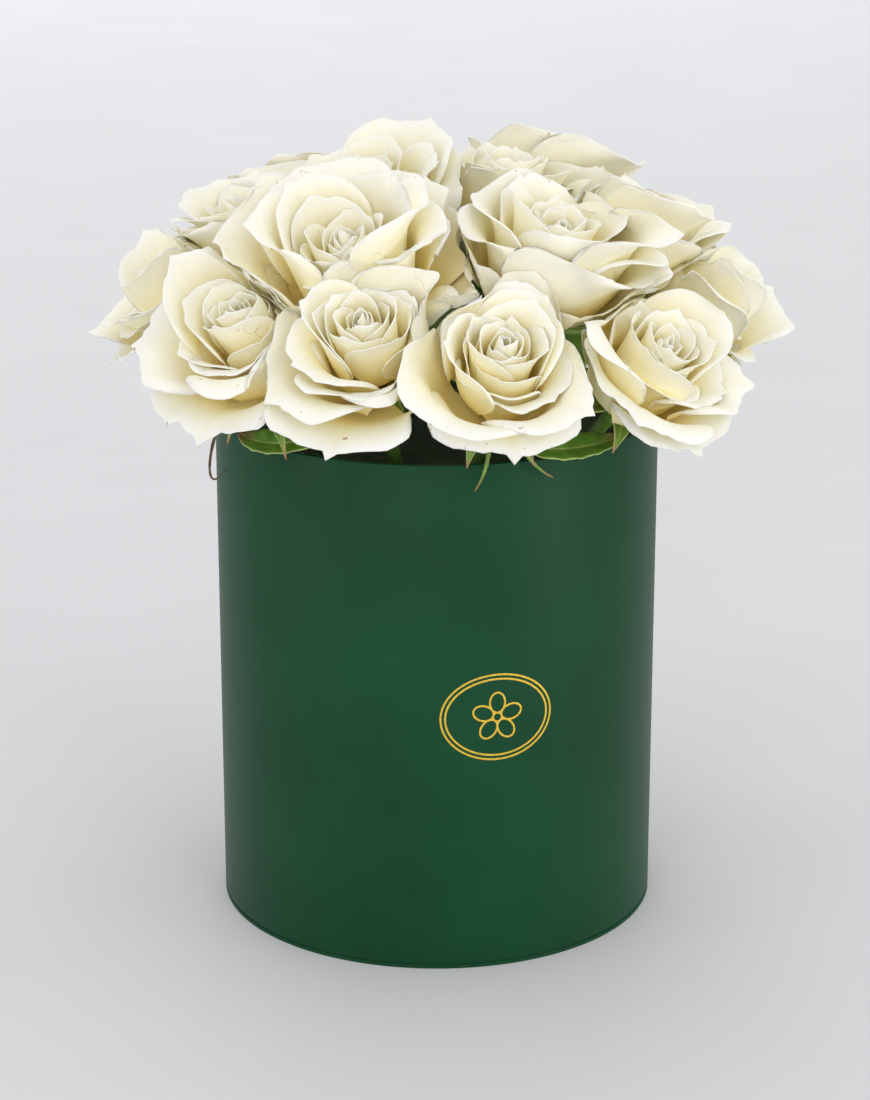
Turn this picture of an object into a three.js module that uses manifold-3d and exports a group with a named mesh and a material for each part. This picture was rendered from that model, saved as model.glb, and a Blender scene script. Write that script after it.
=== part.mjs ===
// A round gift box of white roses: a paper-covered board cylinder with a black film liner and a
// block of floral foam inside, and eighteen open roses standing in the foam as a dome.
// Millimetres, +Z up. The origin is the centre of the box's underside, and -Y is the front.
import * as THREE from "three";
import { mergeVertices } from "three/addons/utils/BufferGeometryUtils.js";
import Module from "manifold-3d";

const wasm = await Module();
wasm.setup();

const radians = THREE.MathUtils.degToRad;
const mix = THREE.MathUtils.lerp;
const smooth = THREE.MathUtils.smoothstep;

// Box, liner and foam
const BOX_DIAMETER = 200;
const BOX_HEIGHT = 232;
const WALL = 2.2;
const BASE_THICKNESS = 2.2;
const GROOVE_DEPTH = 0.7;
const GROOVE_HEIGHT = 0.6;
const LINER_GAP = 0.3;
const LINER_WALL = 0.8;
const LINER_BELOW_RIM = 5;
const FOAM_TOP = 220;
const FOAM_GAP = 0.6;
const BOX_SIDES = 48;
const LINER_SIDES = 40;
const FOAM_SIDES = 36;

// The dome that the blooms' tips lie on, and the point in the foam that every stem aims at
const DOME_RADIUS = 150;
const DOME_RISE = 112;
const STEM_FOCUS_Z = 124;

// Rings of roses: for each rose its tip's distance from the box's axis, its bearing in degrees counted
// from the front towards the right, and its weight in sharing the room with its neighbours.
const RINGS = [
  [[120, -15, 1], [128, 12.5, 1], [133, 47.5, 0.97], [125, 84, 1], [121, 124, 1],
    [124, 160, 1], [124, 196, 1], [121, 233, 1], [122, 275, 1], [122, 316.5, 1]],
  [[83, -28, 1.45], [81, 41, 0.92], [89, 87, 1], [81, 151, 1], [81, 213, 1], [81, 274, 0.9]],
  [[34, 270, 1.15], [34, 110, 1]],
];
const ROSE_SPIN = radians(67);

// One rose: a bloom on its own axis, with the petals' root at 0 and the tip at the top
const BLOOM_HEIGHT = 41;
const PETAL_COUNT = 24;
const GOLDEN_ANGLE = radians(137.508);
const WHORL = 5;
const CORNER_TURN = radians(9);
const OUTER_PETALS = [23, 22, 21, 20, 19];
const MIDDLE_PETALS = [16, 12, 10];
const BLADE_HALF_THICKNESS = 0.6;
const SHORTEST_EDGE = 0.1;
const CORE_SIDES = 5;
const CORE_PROFILE = [[0, 0], [6.3, 0], [10, 9], [0, 13]];

// The heart is the innermost petals, rolled on each other as one scroll.
const HEART_TURNS = 1.4;
const HEART_STEPS = 8;
const HEART_INNER_RADIUS = 2.2;
const HEART_OUTER_RADIUS = 11.5;
const HEART_WALL = 1.3;
const HEART_BOTTOM = 9;
const HEART_FOOT_SCALE = 0.6;
const HEART_FALL = 3;

// Room between neighbouring roses
const CELL_LEVEL = 20;
const CELL_LEAN = radians(20);
const CELL_GAP = 0.9;
const CELL_LAYER = 0.8;
const CELL_SOFTNESS = 2;
const NEIGHBOUR_REACH = 110;
const ROOM_LEVEL = 30;
const ROOM_MOST = 62;
const ROOM_USUAL = 34;
const SHARE_LEAST = 0.7;
const SHARE_MOST = 1.35;
const SHARE_OUTSIDE = 0.7;
const OPEN_FROM = 50;
const INSIDE_SHORTER = 0.2;
const OUTSIDE_DROOP = radians(9);

// Green parts: hip, stem and sepals of each rose, and the leaves left on the outer stems
const SEAT_GAP = 0.3;
const HIP_HEIGHT = 11;
const HIP_RADIUS = 5.8;
const HIP_TOP_RADIUS = 5;
const STEM_RADIUS = 2.8;
const STEM_BELOW_FOAM_TOP = 46;
const HOLE_GAP = 0.3;
const SEPAL_COUNT = 5;
const SEPAL_LENGTH = 34;
const SEPAL_HALF_WIDTH = 4.6;
const SEPAL_THICKNESS = 1;
const SEPAL_ROOT_HALF_ANGLE = radians(25);
const SEPAL_ROOT_DEPTH = 3;
const SEPAL_ROOT_HEADING = radians(84);
const SEPAL_TIP_HEADING = radians(150);
const SEPAL_SECTIONS = [{ along: 0.38, width: 1 }, { along: 0.72, width: 0.55 }];
const LEAF_ROOT_DEPTH = 17;
const LEAF_TIP_RADIUS = 106;
const LEAF_TIP_RISE = 5;
const LEAF_ARCH = 5;
const LEAF_HALF_WIDTH = 9;
const LEAF_STALK = 0.2;
const LEAF_FOLD = 0.25;
const LEAF_TEETH = 4;
const LEAF_NOTCH = 0.16;

// The rose that each leaf grows on, and the bearing of the leaf's tip
const LEAVES = [
  { rose: 1, bearing: -44 },
  { rose: 2, bearing: 25 },
  { rose: 3, bearing: 62 },
  { rose: 5, bearing: 117 },
  { rose: 6, bearing: 168 },
  { rose: 8, bearing: 226 },
  { rose: 9, bearing: 283 },
  { rose: 10, bearing: 300 },
];

// A repeatable draw from -1 to 1 for a rose, one of its pieces and a use.
function swing(rose, piece, use) {
  const x = Math.sin(rose * 12.9898 + piece * 78.233 + use * 39.107) * 43758.5453;
  return 2 * (x - Math.floor(x)) - 1;
}

// How a petal is shaped by its age: 0 for the innermost and 1 for the outermost. Each row gives a value
// at these ages. Headings are in degrees from the bloom's axis, at the root, the middle and the tip.
const AGES = [0, 0.15, 0.3, 0.5, 0.7, 0.85, 1];
const PETAL_LENGTH = [30, 33, 37, 44, 53, 59, 62];
const PETAL_HALF_WIDTH = [8, 11, 15, 22, 29, 36, 42];
const ROOT_HEADING = [12, 26, 42, 60, 78, 87, 94];
const MIDDLE_HEADING = [-6, -4, 0, 4, 9, 17, 30];
const TIP_HEADING = [-16, -8, 2, 18, 44, 68, 92];
const MARGIN_ROLL = [0.1, 0.3, 0.7, 1.4, 2.2, 2.6, 2.6];
const SPIRAL_TUCK = [0.5, 0.45, 0.4, 0.35, 0.3, 0.2, 0.15];
const ROOT_OUT = [1.2, 6];
const ROOT_UP = [12, 1];
const WIDEST_AT = 0.7;
const CLAW_WIDTH = 0.07;
const SHOULDER = 0.58;
const EDGE_POWER = 2.3;
const SPINE_STEPS = 48;
const ARC_STEPS = 16;

function atAge(row, age) {
  const next = Math.max(AGES.findIndex((at) => age <= at), 1);
  return mix(row[next - 1], row[next], (age - AGES[next - 1]) / (AGES[next] - AGES[next - 1]));
}

// How far a bloom can spread in a direction before it meets a neighbour.
function roomTowards(rose, bearing) {
  const direction = new THREE.Vector3(Math.cos(bearing), Math.sin(bearing), 0).transformDirection(rose.frame);
  const centre = rose.root.clone().addScaledVector(rose.axis, ROOM_LEVEL);
  const rooms = rose.planes
    .filter(({ normal }) => normal.dot(direction) > 0.05)
    .map(({ normal, offset }) => (offset - normal.dot(centre)) / normal.dot(direction));
  return Math.min(ROOM_MOST, ...rooms);
}

// Petals follow the golden angle, but the ten outermost stand in two whorls and find the corners.
function petalBearing(rose, index) {
  const fromLast = PETAL_COUNT - 1 - index;
  const loose = 0.15 * swing(rose.number, index, 6);
  if (fromLast >= 2 * WHORL) return GOLDEN_ANGLE * index + ROSE_SPIN * rose.number + 2 * loose;
  const turns = (fromLast * 2 + (fromLast >= WHORL ? 0.5 : 0)) / WHORL;
  const bearings = [0, 1, -1, 2, -2].map((turn) => turns * 2 * Math.PI + turn * CORNER_TURN);
  const rooms = bearings.map((bearing) => roomTowards(rose, bearing));
  return bearings[rooms.indexOf(Math.max(...rooms))] + loose;
}

// Petals grow longer into the corners of their room, and shorter where a neighbour is near.
function roomShare(rose, bearing) {
  const room = roomTowards(rose, bearing);
  let most = SHARE_MOST;
  if (rose.ring === 0) {
    most = mix(SHARE_MOST, 1, smooth(room, OPEN_FROM, ROOM_MOST));
    most = mix(most, SHARE_OUTSIDE, smooth(Math.cos(bearing), 0.3, 0.9));
  }
  const inner = INSIDE_SHORTER * Math.max(-Math.cos(bearing), 0);
  return THREE.MathUtils.clamp(room / ROOM_USUAL, SHARE_LEAST, most) * (1 - inner);
}

// The petal's middle line in the plane of the bloom's axis, as distance, height and heading by length.
function petalSpine(rose, index, age, length, bearing) {
  const outward = rose.ring === 0 ? Math.max(Math.cos(bearing), 0) : 0;
  const droop = OUTSIDE_DROOP * smooth(age, 0.5, 1) * outward;
  const root = radians(atAge(ROOT_HEADING, age));
  const middle = radians(atAge(MIDDLE_HEADING, age) + 6 * swing(rose.number, index, 1) * age) + droop;
  const tip = radians(atAge(TIP_HEADING, age) + 22 * swing(rose.number, index, 2) * age) + droop;
  const heading = (s) =>
    root + (middle - root) * smooth(s, 0, 0.45) + (tip - middle) * smooth(s, 0.55, 1) ** 1.2;
  const spine = [{ out: mix(...ROOT_OUT, age), up: mix(...ROOT_UP, age), heading: heading(0) }];
  const step = length / SPINE_STEPS;
  for (let i = 1; i <= SPINE_STEPS; i++) {
    const before = spine[i - 1];
    const half = heading((i - 0.5) / SPINE_STEPS);
    spine.push({
      out: before.out + Math.sin(half) * step,
      up: before.up + Math.cos(half) * step,
      heading: heading(i / SPINE_STEPS),
    });
  }
  return spine;
}

// A petal's half width along its length, as a share of its widest: a narrow claw, a full blade, a round tip.
function petalFullness(s) {
  if (s > WIDEST_AT) return 1 - 0.12 * ((s - WIDEST_AT) / (1 - WIDEST_AT)) ** 2;
  return CLAW_WIDTH + (1 - CLAW_WIDTH) * Math.sin((Math.PI / 2) * (s / WIDEST_AT)) ** 2.4;
}

// One petal of a rose: its age, its bearing, its share of the room and its middle line.
function petalOf(rose, index) {
  const age = index / (PETAL_COUNT - 1);
  const bearing = petalBearing(rose, index);
  const share = mix(1, roomShare(rose, bearing), smooth(age, 0.35, 0.7));
  const length = share * atAge(PETAL_LENGTH, age) * (1 + 0.05 * swing(rose.number, index, 3));
  return { index, age, bearing, share, spine: petalSpine(rose, index, age, length, bearing) };
}

// A point of the petal: across runs from -1 to 1, along from 0 at the root to 1 at the tip.
function petalPoint(rose, { index, age, bearing, share, spine }, across, along) {
  const side = Math.sign(across) || 1;
  const reach = Math.abs(across);
  const s = along * (SHOULDER + (1 - SHOULDER) * (1 - reach ** EDGE_POWER) ** (1 / EDGE_POWER));
  const at = s * SPINE_STEPS;
  const low = Math.min(Math.floor(at), SPINE_STEPS - 1);
  const [before, after] = [spine[low], spine[low + 1]];
  const out = mix(before.out, after.out, at - low);
  const up = mix(before.up, after.up, at - low);
  const heading = mix(before.heading, after.heading, at - low);
  const width = Math.sqrt(share) * atAge(PETAL_HALF_WIDTH, age) * petalFullness(s);

  // The cross-section wraps round the bloom's axis, and its margins roll outwards.
  const wrap = Math.max(Math.cos(heading), 0.1) / Math.max(out, 2.2);
  const slack = 1 + 0.35 * swing(rose.number, index, 4);
  const roll = (3 * atAge(MARGIN_ROLL, age) * slack * smooth(s, 0.35, 0.8)) / width;
  const tuck = side * atAge(SPIRAL_TUCK, age);
  const step = (reach * width) / ARC_STEPS;
  let turn = 0;
  let inward = 0;
  let sideways = 0;
  for (let i = 0; i < ARC_STEPS; i++) {
    const m = (reach * (i + 0.5)) / ARC_STEPS;
    const bend = wrap * (1 - tuck * m) * (1 - smooth(m, 0.65, 0.9)) - roll * smooth(m, 0.7, 1);
    inward += Math.sin(turn + (bend * step) / 2) * step;
    sideways += Math.cos(turn + (bend * step) / 2) * step;
    turn += bend * step;
  }
  const distance = out - Math.cos(heading) * inward;
  const height = up + Math.sin(heading) * inward;
  const offset = side * sideways + radians(7) * swing(rose.number, index, 5) * age * height;
  return new THREE.Vector3(distance, offset, height).applyAxisAngle(new THREE.Vector3(0, 0, 1), bearing);
}

// A point at a distance from the box's axis, on a bearing in degrees.
const onBearing = (radius, bearing, z) =>
  new THREE.Vector3(radius * Math.sin(radians(bearing)), -radius * Math.cos(radians(bearing)), z);

// Every rose's bloom root, its axis from the stem focus out through the bloom, and a frame with
// Z on that axis and X along the dome's fall.
function placeRoses() {
  const focus = new THREE.Vector3(0, 0, STEM_FOCUS_Z);
  return RINGS.flatMap((places, ring) => places.map(([distance, bearing, weight]) => {
    const rise = DOME_RISE * Math.sqrt(1 - (distance / DOME_RADIUS) ** 2);
    const tip = onBearing(distance, bearing, BOX_HEIGHT + rise);
    const axis = tip.clone().sub(focus).normalize();
    const root = tip.clone().addScaledVector(axis, -BLOOM_HEIGHT);
    const outward = onBearing(1, bearing, 0);
    const x = outward.addScaledVector(axis, -outward.dot(axis)).normalize();
    const y = new THREE.Vector3().crossVectors(axis, x);
    const frame = new THREE.Matrix4().makeBasis(x, y, axis).setPosition(root);
    return { ring, bearing, weight, axis, root, frame };
  }));
}

// The planes that part a rose from its neighbours. Each leans, so that one of the two lies over the other.
function cellPlanes(roses, i) {
  const planes = [];
  roses.forEach((other, j) => {
    if (j === i) return;
    const here = roses[i].root.clone().addScaledVector(roses[i].axis, CELL_LEVEL);
    const there = other.root.clone().addScaledVector(other.axis, CELL_LEVEL);
    const towards = there.clone().sub(here);
    if (towards.length() > NEIGHBOUR_REACH) return;
    const border = here.addScaledVector(towards, roses[i].weight / (roses[i].weight + other.weight));
    towards.normalize();
    const up = roses[i].axis.clone().add(other.axis);
    up.addScaledVector(towards, -up.dot(towards)).normalize();
    const over = liesOver(roses, i, j) ? 1 : -1;
    const normal = towards.multiplyScalar(Math.cos(CELL_LEAN)).addScaledVector(up, -over * Math.sin(CELL_LEAN));
    planes.push({ normal, offset: normal.dot(border) });
  });
  return planes;
}

// In a ring each rose lies over the one on its left; between rings the two take turns.
function liesOver(roses, i, j) {
  if (roses[i].ring === roses[j].ring) {
    const turn = (roses[i].bearing - roses[j].bearing + 720) % 360;
    return turn < 180;
  }
  const lowerRing = roses[i].ring < roses[j].ring;
  const lowerWins = (i + j) % 2 === 0;
  return lowerRing === lowerWins;
}

// Presses a point back from each plane, softly, to at least the gap.
function pressInto(planes, point, gap) {
  for (let pass = 0; pass < 4; pass++) {
    for (const { normal, offset } of planes) {
      const past = normal.dot(point) - offset + gap;
      const kept = -CELL_SOFTNESS * Math.log1p(Math.exp(Math.min(-past / CELL_SOFTNESS, 40)));
      const target = pass === 0 ? Math.min(kept, past) : Math.min(past, 0);
      point.addScaledVector(normal, target - past);
    }
  }
  return point;
}

function solidOf(positions, triangles) {
  return new wasm.Manifold(new wasm.Mesh({
    numProp: 3,
    vertProperties: new Float32Array(positions),
    triVerts: new Uint32Array(triangles),
  }));
}

// A turned shape on the Z axis with a corner towards +X, from a profile of [radius, height] points.
function turned(profile, sides) {
  const points = profile.map(([radius, height]) => new THREE.Vector2(radius, height));
  return new THREE.LatheGeometry(points, sides).rotateX(Math.PI / 2).rotateZ(Math.PI / 2);
}

function solidFromGeometry(geometry, matrix = new THREE.Matrix4()) {
  const bare = geometry.clone();
  bare.deleteAttribute("normal");
  bare.deleteAttribute("uv");
  const merged = mergeVertices(bare, 1e-4).applyMatrix4(matrix);
  return solidOf(merged.attributes.position.array, merged.index.array);
}

function geometryFromSolid(solid) {
  const { vertProperties, triVerts } = solid.getMesh();
  const geometry = new THREE.BufferGeometry();
  geometry.setAttribute("position", new THREE.BufferAttribute(vertProperties, 3));
  geometry.setIndex(new THREE.BufferAttribute(triVerts, 1));
  geometry.computeVertexNormals();
  return geometry;
}

// Joins solids, closes up edges too short to matter, and keeps the one body that holds together,
// with any sealed hollow filled.
function join(solids) {
  const joined = solids.reduce((all, solid) => all.add(solid)).simplify(SHORTEST_EDGE);
  const bodies = joined.decompose().sort((a, b) => b.volume() - a.volume());
  return bodies[0];
}

// A thin closed blade on a grid of middle points: both faces share the outline, and bulge between.
function blade(rows) {
  const [down, over] = [rows.length, rows[0].length];
  const inside = (i, count) => THREE.MathUtils.clamp(i, 0, count - 1);
  const at = (r, c) => rows[inside(r, down)][inside(c, over)];
  const positions = [];
  const front = [];
  const back = [];
  const add = (point) => positions.push(...point.toArray()) / 3 - 1;
  for (let r = 0; r < down; r++) {
    for (let c = 0; c < over; c++) {
      const onOutline = r === 0 || r === down - 1 || c === 0 || c === over - 1;
      if (onOutline) {
        front.push(add(at(r, c)));
        back.push(front[front.length - 1]);
        continue;
      }
      const normal = new THREE.Vector3().crossVectors(
        at(r, c + 1).clone().sub(at(r, c - 1)),
        at(r + 1, c).clone().sub(at(r - 1, c)),
      ).normalize();
      front.push(add(at(r, c).clone().addScaledVector(normal, BLADE_HALF_THICKNESS)));
      back.push(add(at(r, c).clone().addScaledVector(normal, -BLADE_HALF_THICKNESS)));
    }
  }
  const triangles = [];
  for (let r = 0; r < down - 1; r++) {
    for (let c = 0; c < over - 1; c++) {
      const [p, q, s, t] = [r * over + c, r * over + c + 1, (r + 1) * over + c, (r + 1) * over + c + 1];
      const cells = c < (over - 1) / 2 ? [[p, q, t], [p, t, s]] : [[p, q, s], [q, t, s]];
      for (const [i, j, k] of cells) {
        triangles.push(front[i], front[j], front[k], back[i], back[k], back[j]);
      }
    }
  }
  return solidOf(positions, triangles);
}

const ACROSS_PETAL = [-1, -0.4, 0.4, 1];
const ALONG_PETAL = [0, 0.3, 0.72, 1];

function petalSolid(rose, index) {
  const petal = petalOf(rose, index);
  const gap = CELL_GAP + CELL_LAYER * ((PETAL_COUNT - 1 - index) / 5);
  return blade(ALONG_PETAL.map((along) => ACROSS_PETAL.map((across) => {
    const point = petalPoint(rose, petal, across, along).applyMatrix4(rose.frame);
    return pressInto(rose.planes, point, gap);
  })));
}

// The scroll: a spiral wall, narrower at its foot, and lower towards the end of its run.
function heartSolid(frame) {
  const inner = [];
  const outer = [];
  for (let i = 0; i <= HEART_STEPS; i++) {
    const run = i / HEART_STEPS;
    const turn = run * HEART_TURNS * 2 * Math.PI;
    const radius = mix(HEART_INNER_RADIUS, HEART_OUTER_RADIUS, run ** 0.8);
    const top = BLOOM_HEIGHT - HEART_FALL * run + 1.5 * Math.sin(7 * run);
    inner.push(new THREE.Vector3(Math.cos(turn) * radius, Math.sin(turn) * radius, top));
    const beyond = radius + HEART_WALL;
    outer.push(new THREE.Vector3(Math.cos(turn) * beyond, Math.sin(turn) * beyond, top));
  }
  const rim = [...inner, ...outer.reverse()];
  const foot = rim.map(({ x, y }) => new THREE.Vector3(x * HEART_FOOT_SCALE, y * HEART_FOOT_SCALE, HEART_BOTTOM));
  const positions = [...foot, ...rim].flatMap((point) => point.applyMatrix4(frame).toArray());
  const count = rim.length;
  const triangles = [];
  for (let i = 0; i < count; i++) {
    const next = (i + 1) % count;
    triangles.push(i, count + next, next, i, count + i, count + next);
  }
  for (let i = 0; i < HEART_STEPS; i++) {
    const [a, b, c, d] = [i, i + 1, count - 2 - i, count - 1 - i];
    triangles.push(a, b, c, a, c, d);
    triangles.push(count + a, count + c, count + b, count + a, count + d, count + c);
  }
  return solidOf(positions, triangles);
}

function bloomSolid(rose) {
  const spun = rose.frame.clone().multiply(new THREE.Matrix4().makeRotationZ(ROSE_SPIN * rose.number));
  const core = solidFromGeometry(turned(CORE_PROFILE, CORE_SIDES), spun);
  const petals = [...MIDDLE_PETALS, ...OUTER_PETALS].map((index) => petalSolid(rose, index));
  return join([core, heartSolid(spun), ...petals]);
}

// How far the stem runs below the bloom's root.
const stemLength = (rose) => (rose.root.z - (FOAM_TOP - STEM_BELOW_FOAM_TOP)) / rose.axis.z;

// The cross-sections of a sepal beyond its root, and its tip. It bends from the hip down over the stem.
function sepalSections(rose, k) {
  const bearing = sepalBearing(k);
  const lean = 0.3 * swing(rose.number, k, 11);
  const length = SEPAL_LENGTH * (1 + 0.15 * swing(rose.number, k, 12));
  const droop = radians(12) * swing(rose.number, k, 13);
  let out = HIP_RADIUS;
  let up = -SEPAL_ROOT_DEPTH / 2;
  let reached = 0;
  return [...SEPAL_SECTIONS, { along: 1, width: 0 }].map(({ along, width }) => {
    const heading = mix(SEPAL_ROOT_HEADING, SEPAL_TIP_HEADING + droop, (reached + along) / 2);
    out += Math.sin(heading) * (along - reached) * length;
    up += Math.cos(heading) * (along - reached) * length;
    reached = along;
    const corner = (across, through) => {
      const lift = (through * SEPAL_THICKNESS) / 2;
      const point = new THREE.Vector3(out - Math.cos(heading) * lift, across * width * SEPAL_HALF_WIDTH,
        up + Math.sin(heading) * lift);
      point.applyAxisAngle(new THREE.Vector3(0, 0, 1), bearing + lean * along).applyMatrix4(rose.frame);
      return pressInto(rose.planes, point, CELL_GAP);
    };
    return width > 0 ? [corner(-1, -1), corner(1, -1), corner(1, 1), corner(-1, 1)] : [corner(0, 0)];
  });
}

const sepalBearing = (k) => ((k + 0.5) * 2 * Math.PI) / SEPAL_COUNT;

// A leaf on a short stalk, arching out over the box's rim, folded along its rib, with a toothed edge.
function leafSolid(rose, bearing) {
  const start = rose.root.clone().addScaledVector(rose.axis, -LEAF_ROOT_DEPTH);
  const end = onBearing(LEAF_TIP_RADIUS, bearing, BOX_HEIGHT + LEAF_TIP_RISE);
  const crest = start.clone().lerp(end, 0.5);
  crest.z += LEAF_ARCH;
  const rib = new THREE.QuadraticBezierCurve3(start, crest, end);
  const row = (along, half, skew) => {
    const middle = rib.getPoint(along);
    const ahead = rib.getTangent(along);
    const side = new THREE.Vector3().crossVectors(ahead, new THREE.Vector3(0, 0, 1)).normalize();
    return [-1, 0, 1].map((across) => {
      const reach = Math.abs(across) * half;
      const point = middle.clone().addScaledVector(side, across * half).addScaledVector(ahead, skew * reach);
      point.z += LEAF_FOLD * reach;
      return point;
    });
  };
  const rows = [row(0, 1, 0), row(LEAF_STALK, 1, 0)];
  for (let i = 1; i < 2 * LEAF_TEETH; i++) {
    const share = i / (2 * LEAF_TEETH);
    const full = LEAF_HALF_WIDTH * Math.sin(Math.PI * share ** 0.8) ** 0.8;
    const isTooth = i % 2 === 1;
    rows.push(row(mix(LEAF_STALK, 1, share), isTooth ? full : full * (1 - LEAF_NOTCH), isTooth ? 0.25 : 0));
  }
  rows.push(row(1, 0.3, 0));
  return blade(rows);
}

// Stem, hip and sepals as one closed skin, with a stem corner below each gap between two sepals.
function calyxSolid(rose) {
  const positions = [];
  const triangles = [];
  const add = (point) => positions.push(...point.toArray()) / 3 - 1;
  const at = (angle, radius, z) =>
    add(new THREE.Vector3(Math.cos(angle) * radius, Math.sin(angle) * radius, z).applyMatrix4(rose.frame));
  const ring = (shift, radius, z) =>
    Array.from({ length: SEPAL_COUNT }, (_, k) => at(sepalBearing(k) + shift, radius, z));
  const quad = (a, b, c, d) => triangles.push(a, b, c, a, c, d);
  const half = SEPAL_ROOT_HALF_ANGLE;
  const topLeft = ring(-half, HIP_TOP_RADIUS, -SEAT_GAP);
  const topRight = ring(half, HIP_TOP_RADIUS, -SEAT_GAP);
  const lowLeft = ring(-half, HIP_RADIUS, -SEPAL_ROOT_DEPTH);
  const lowRight = ring(half, HIP_RADIUS, -SEPAL_ROOT_DEPTH);
  const neck = ring(Math.PI / SEPAL_COUNT, STEM_RADIUS, -HIP_HEIGHT - 3);
  const foot = ring(Math.PI / SEPAL_COUNT, STEM_RADIUS, -stemLength(rose));
  for (let k = 0; k < SEPAL_COUNT; k++) {
    const next = (k + 1) % SEPAL_COUNT;
    const last = (k + SEPAL_COUNT - 1) % SEPAL_COUNT;
    quad(foot[last], foot[k], neck[k], neck[last]);
    quad(neck[last], neck[k], lowRight[k], lowLeft[k]);
    triangles.push(neck[k], lowLeft[next], lowRight[k]);
    quad(lowRight[k], lowLeft[next], topLeft[next], topRight[k]);
    let section = [lowLeft[k], lowRight[k], topRight[k], topLeft[k]];
    for (const corners of sepalSections(rose, k)) {
      const beyond = corners.map(add);
      section.forEach((corner, i) => {
        const j = (i + 1) % section.length;
        if (beyond.length === 1) triangles.push(corner, section[j], beyond[0]);
        else quad(corner, section[j], beyond[j], beyond[i]);
      });
      section = beyond;
    }
  }
  const top = topLeft.flatMap((corner, k) => [corner, topRight[k]]);
  for (let i = 1; i < top.length - 1; i++) {
    triangles.push(top[0], top[i], top[i + 1]);
  }
  for (let i = 1; i < foot.length - 1; i++) {
    triangles.push(foot[0], foot[i + 1], foot[i]);
  }
  return solidOf(positions, triangles);
}

function stemSolid(rose) {
  const leaves = LEAVES.filter((leaf) => leaf.rose === rose.number).map((leaf) => leafSolid(rose, leaf.bearing));
  return join([calyxSolid(rose), ...leaves]);
}

// The hole that a stem stands in, open at the foam's top.
function holeSolid(rose) {
  const length = stemLength(rose);
  const radius = STEM_RADIUS + HOLE_GAP / Math.cos(Math.PI / SEPAL_COUNT);
  const bottom = -length - HOLE_GAP;
  const top = -length + (STEM_BELOW_FOAM_TOP + 8) / rose.axis.z;
  return solidFromGeometry(turned([[0, bottom], [radius, bottom], [radius, top], [0, top]], SEPAL_COUNT), rose.frame);
}

const BOX_RADIUS = BOX_DIAMETER / 2;
const LINER_RADIUS = BOX_RADIUS - WALL - LINER_GAP;
const LINER_TOP = BOX_HEIGHT - LINER_BELOW_RIM;
const FOAM_BOTTOM = BASE_THICKNESS + LINER_WALL;
const FOAM_RADIUS = LINER_RADIUS - LINER_WALL - FOAM_GAP;

// The base disc, with a fine groove just under the wall's foot.
function baseGeometry() {
  const grooveRadius = BOX_RADIUS - GROOVE_DEPTH;
  const grooveFoot = BASE_THICKNESS - GROOVE_HEIGHT;
  return turned([
    [0, 0],
    [BOX_RADIUS, 0],
    [BOX_RADIUS, grooveFoot],
    [grooveRadius, grooveFoot],
    [grooveRadius, BASE_THICKNESS],
    [0, BASE_THICKNESS],
  ], BOX_SIDES);
}

function wallGeometry() {
  const inside = BOX_RADIUS - WALL;
  return turned([
    [inside, BASE_THICKNESS],
    [BOX_RADIUS, BASE_THICKNESS],
    [BOX_RADIUS, BOX_HEIGHT],
    [inside, BOX_HEIGHT],
    [inside, BASE_THICKNESS],
  ], BOX_SIDES);
}

function linerGeometry() {
  const inside = LINER_RADIUS - LINER_WALL;
  return turned([
    [0, BASE_THICKNESS],
    [LINER_RADIUS, BASE_THICKNESS],
    [LINER_RADIUS, LINER_TOP],
    [inside, LINER_TOP],
    [inside, FOAM_BOTTOM],
    [0, FOAM_BOTTOM],
  ], LINER_SIDES);
}

function foamSolid(roses) {
  const profile = [[0, FOAM_BOTTOM], [FOAM_RADIUS, FOAM_BOTTOM], [FOAM_RADIUS, FOAM_TOP], [0, FOAM_TOP]];
  const block = solidFromGeometry(turned(profile, FOAM_SIDES));
  return roses.reduce((foam, rose) => foam.subtract(holeSolid(rose)), block);
}

const wrappedPaper = new THREE.MeshStandardMaterial({ color: 0x24543c, roughness: 0.55, metalness: 0 });
const blackFilm = new THREE.MeshStandardMaterial({ color: 0x0c0d0c, roughness: 0.2, metalness: 0 });
const wetFoam = new THREE.MeshStandardMaterial({ color: 0x2d4a2e, roughness: 0.95, metalness: 0 });
const petalWhite = new THREE.MeshStandardMaterial({ color: 0xf4f1e4, roughness: 0.6, metalness: 0 });
const roseGreen = new THREE.MeshStandardMaterial({ color: 0x5b7a30, roughness: 0.6, metalness: 0 });

const group = new THREE.Group();

function addNode(name, geometry, material) {
  const mesh = new THREE.Mesh(geometry, material);
  mesh.name = name;
  group.add(mesh);
}

const roses = placeRoses();
addNode("box_base", baseGeometry(), wrappedPaper);
addNode("box_wall", wallGeometry(), wrappedPaper);
addNode("liner", linerGeometry(), blackFilm);
addNode("foam", geometryFromSolid(foamSolid(roses)), wetFoam);
roses.forEach((rose, i) => {
  rose.number = i + 1;
  rose.planes = cellPlanes(roses, i);
  const name = `rose_${String(rose.number).padStart(2, "0")}`;
  addNode(`${name}_bloom`, geometryFromSolid(bloomSolid(rose)), petalWhite);
  addNode(`${name}_stem`, geometryFromSolid(stemSolid(rose)), roseGreen);
});

export default group;
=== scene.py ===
# %% [markdown]
# A round gift box of white roses. The frame gives the box, its liner, the foam, and a plain solid for each
# bloom and each stem. This lesson dresses them: two dozen or more thin petals for each bloom, sepals and
# toothed leaves, a round paper-covered wall, creased film in the box, and soft studio light.

# %% Load the frame
import math

import bmesh
import bpy
import numpy as np
from mathutils import Matrix, Vector


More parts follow.
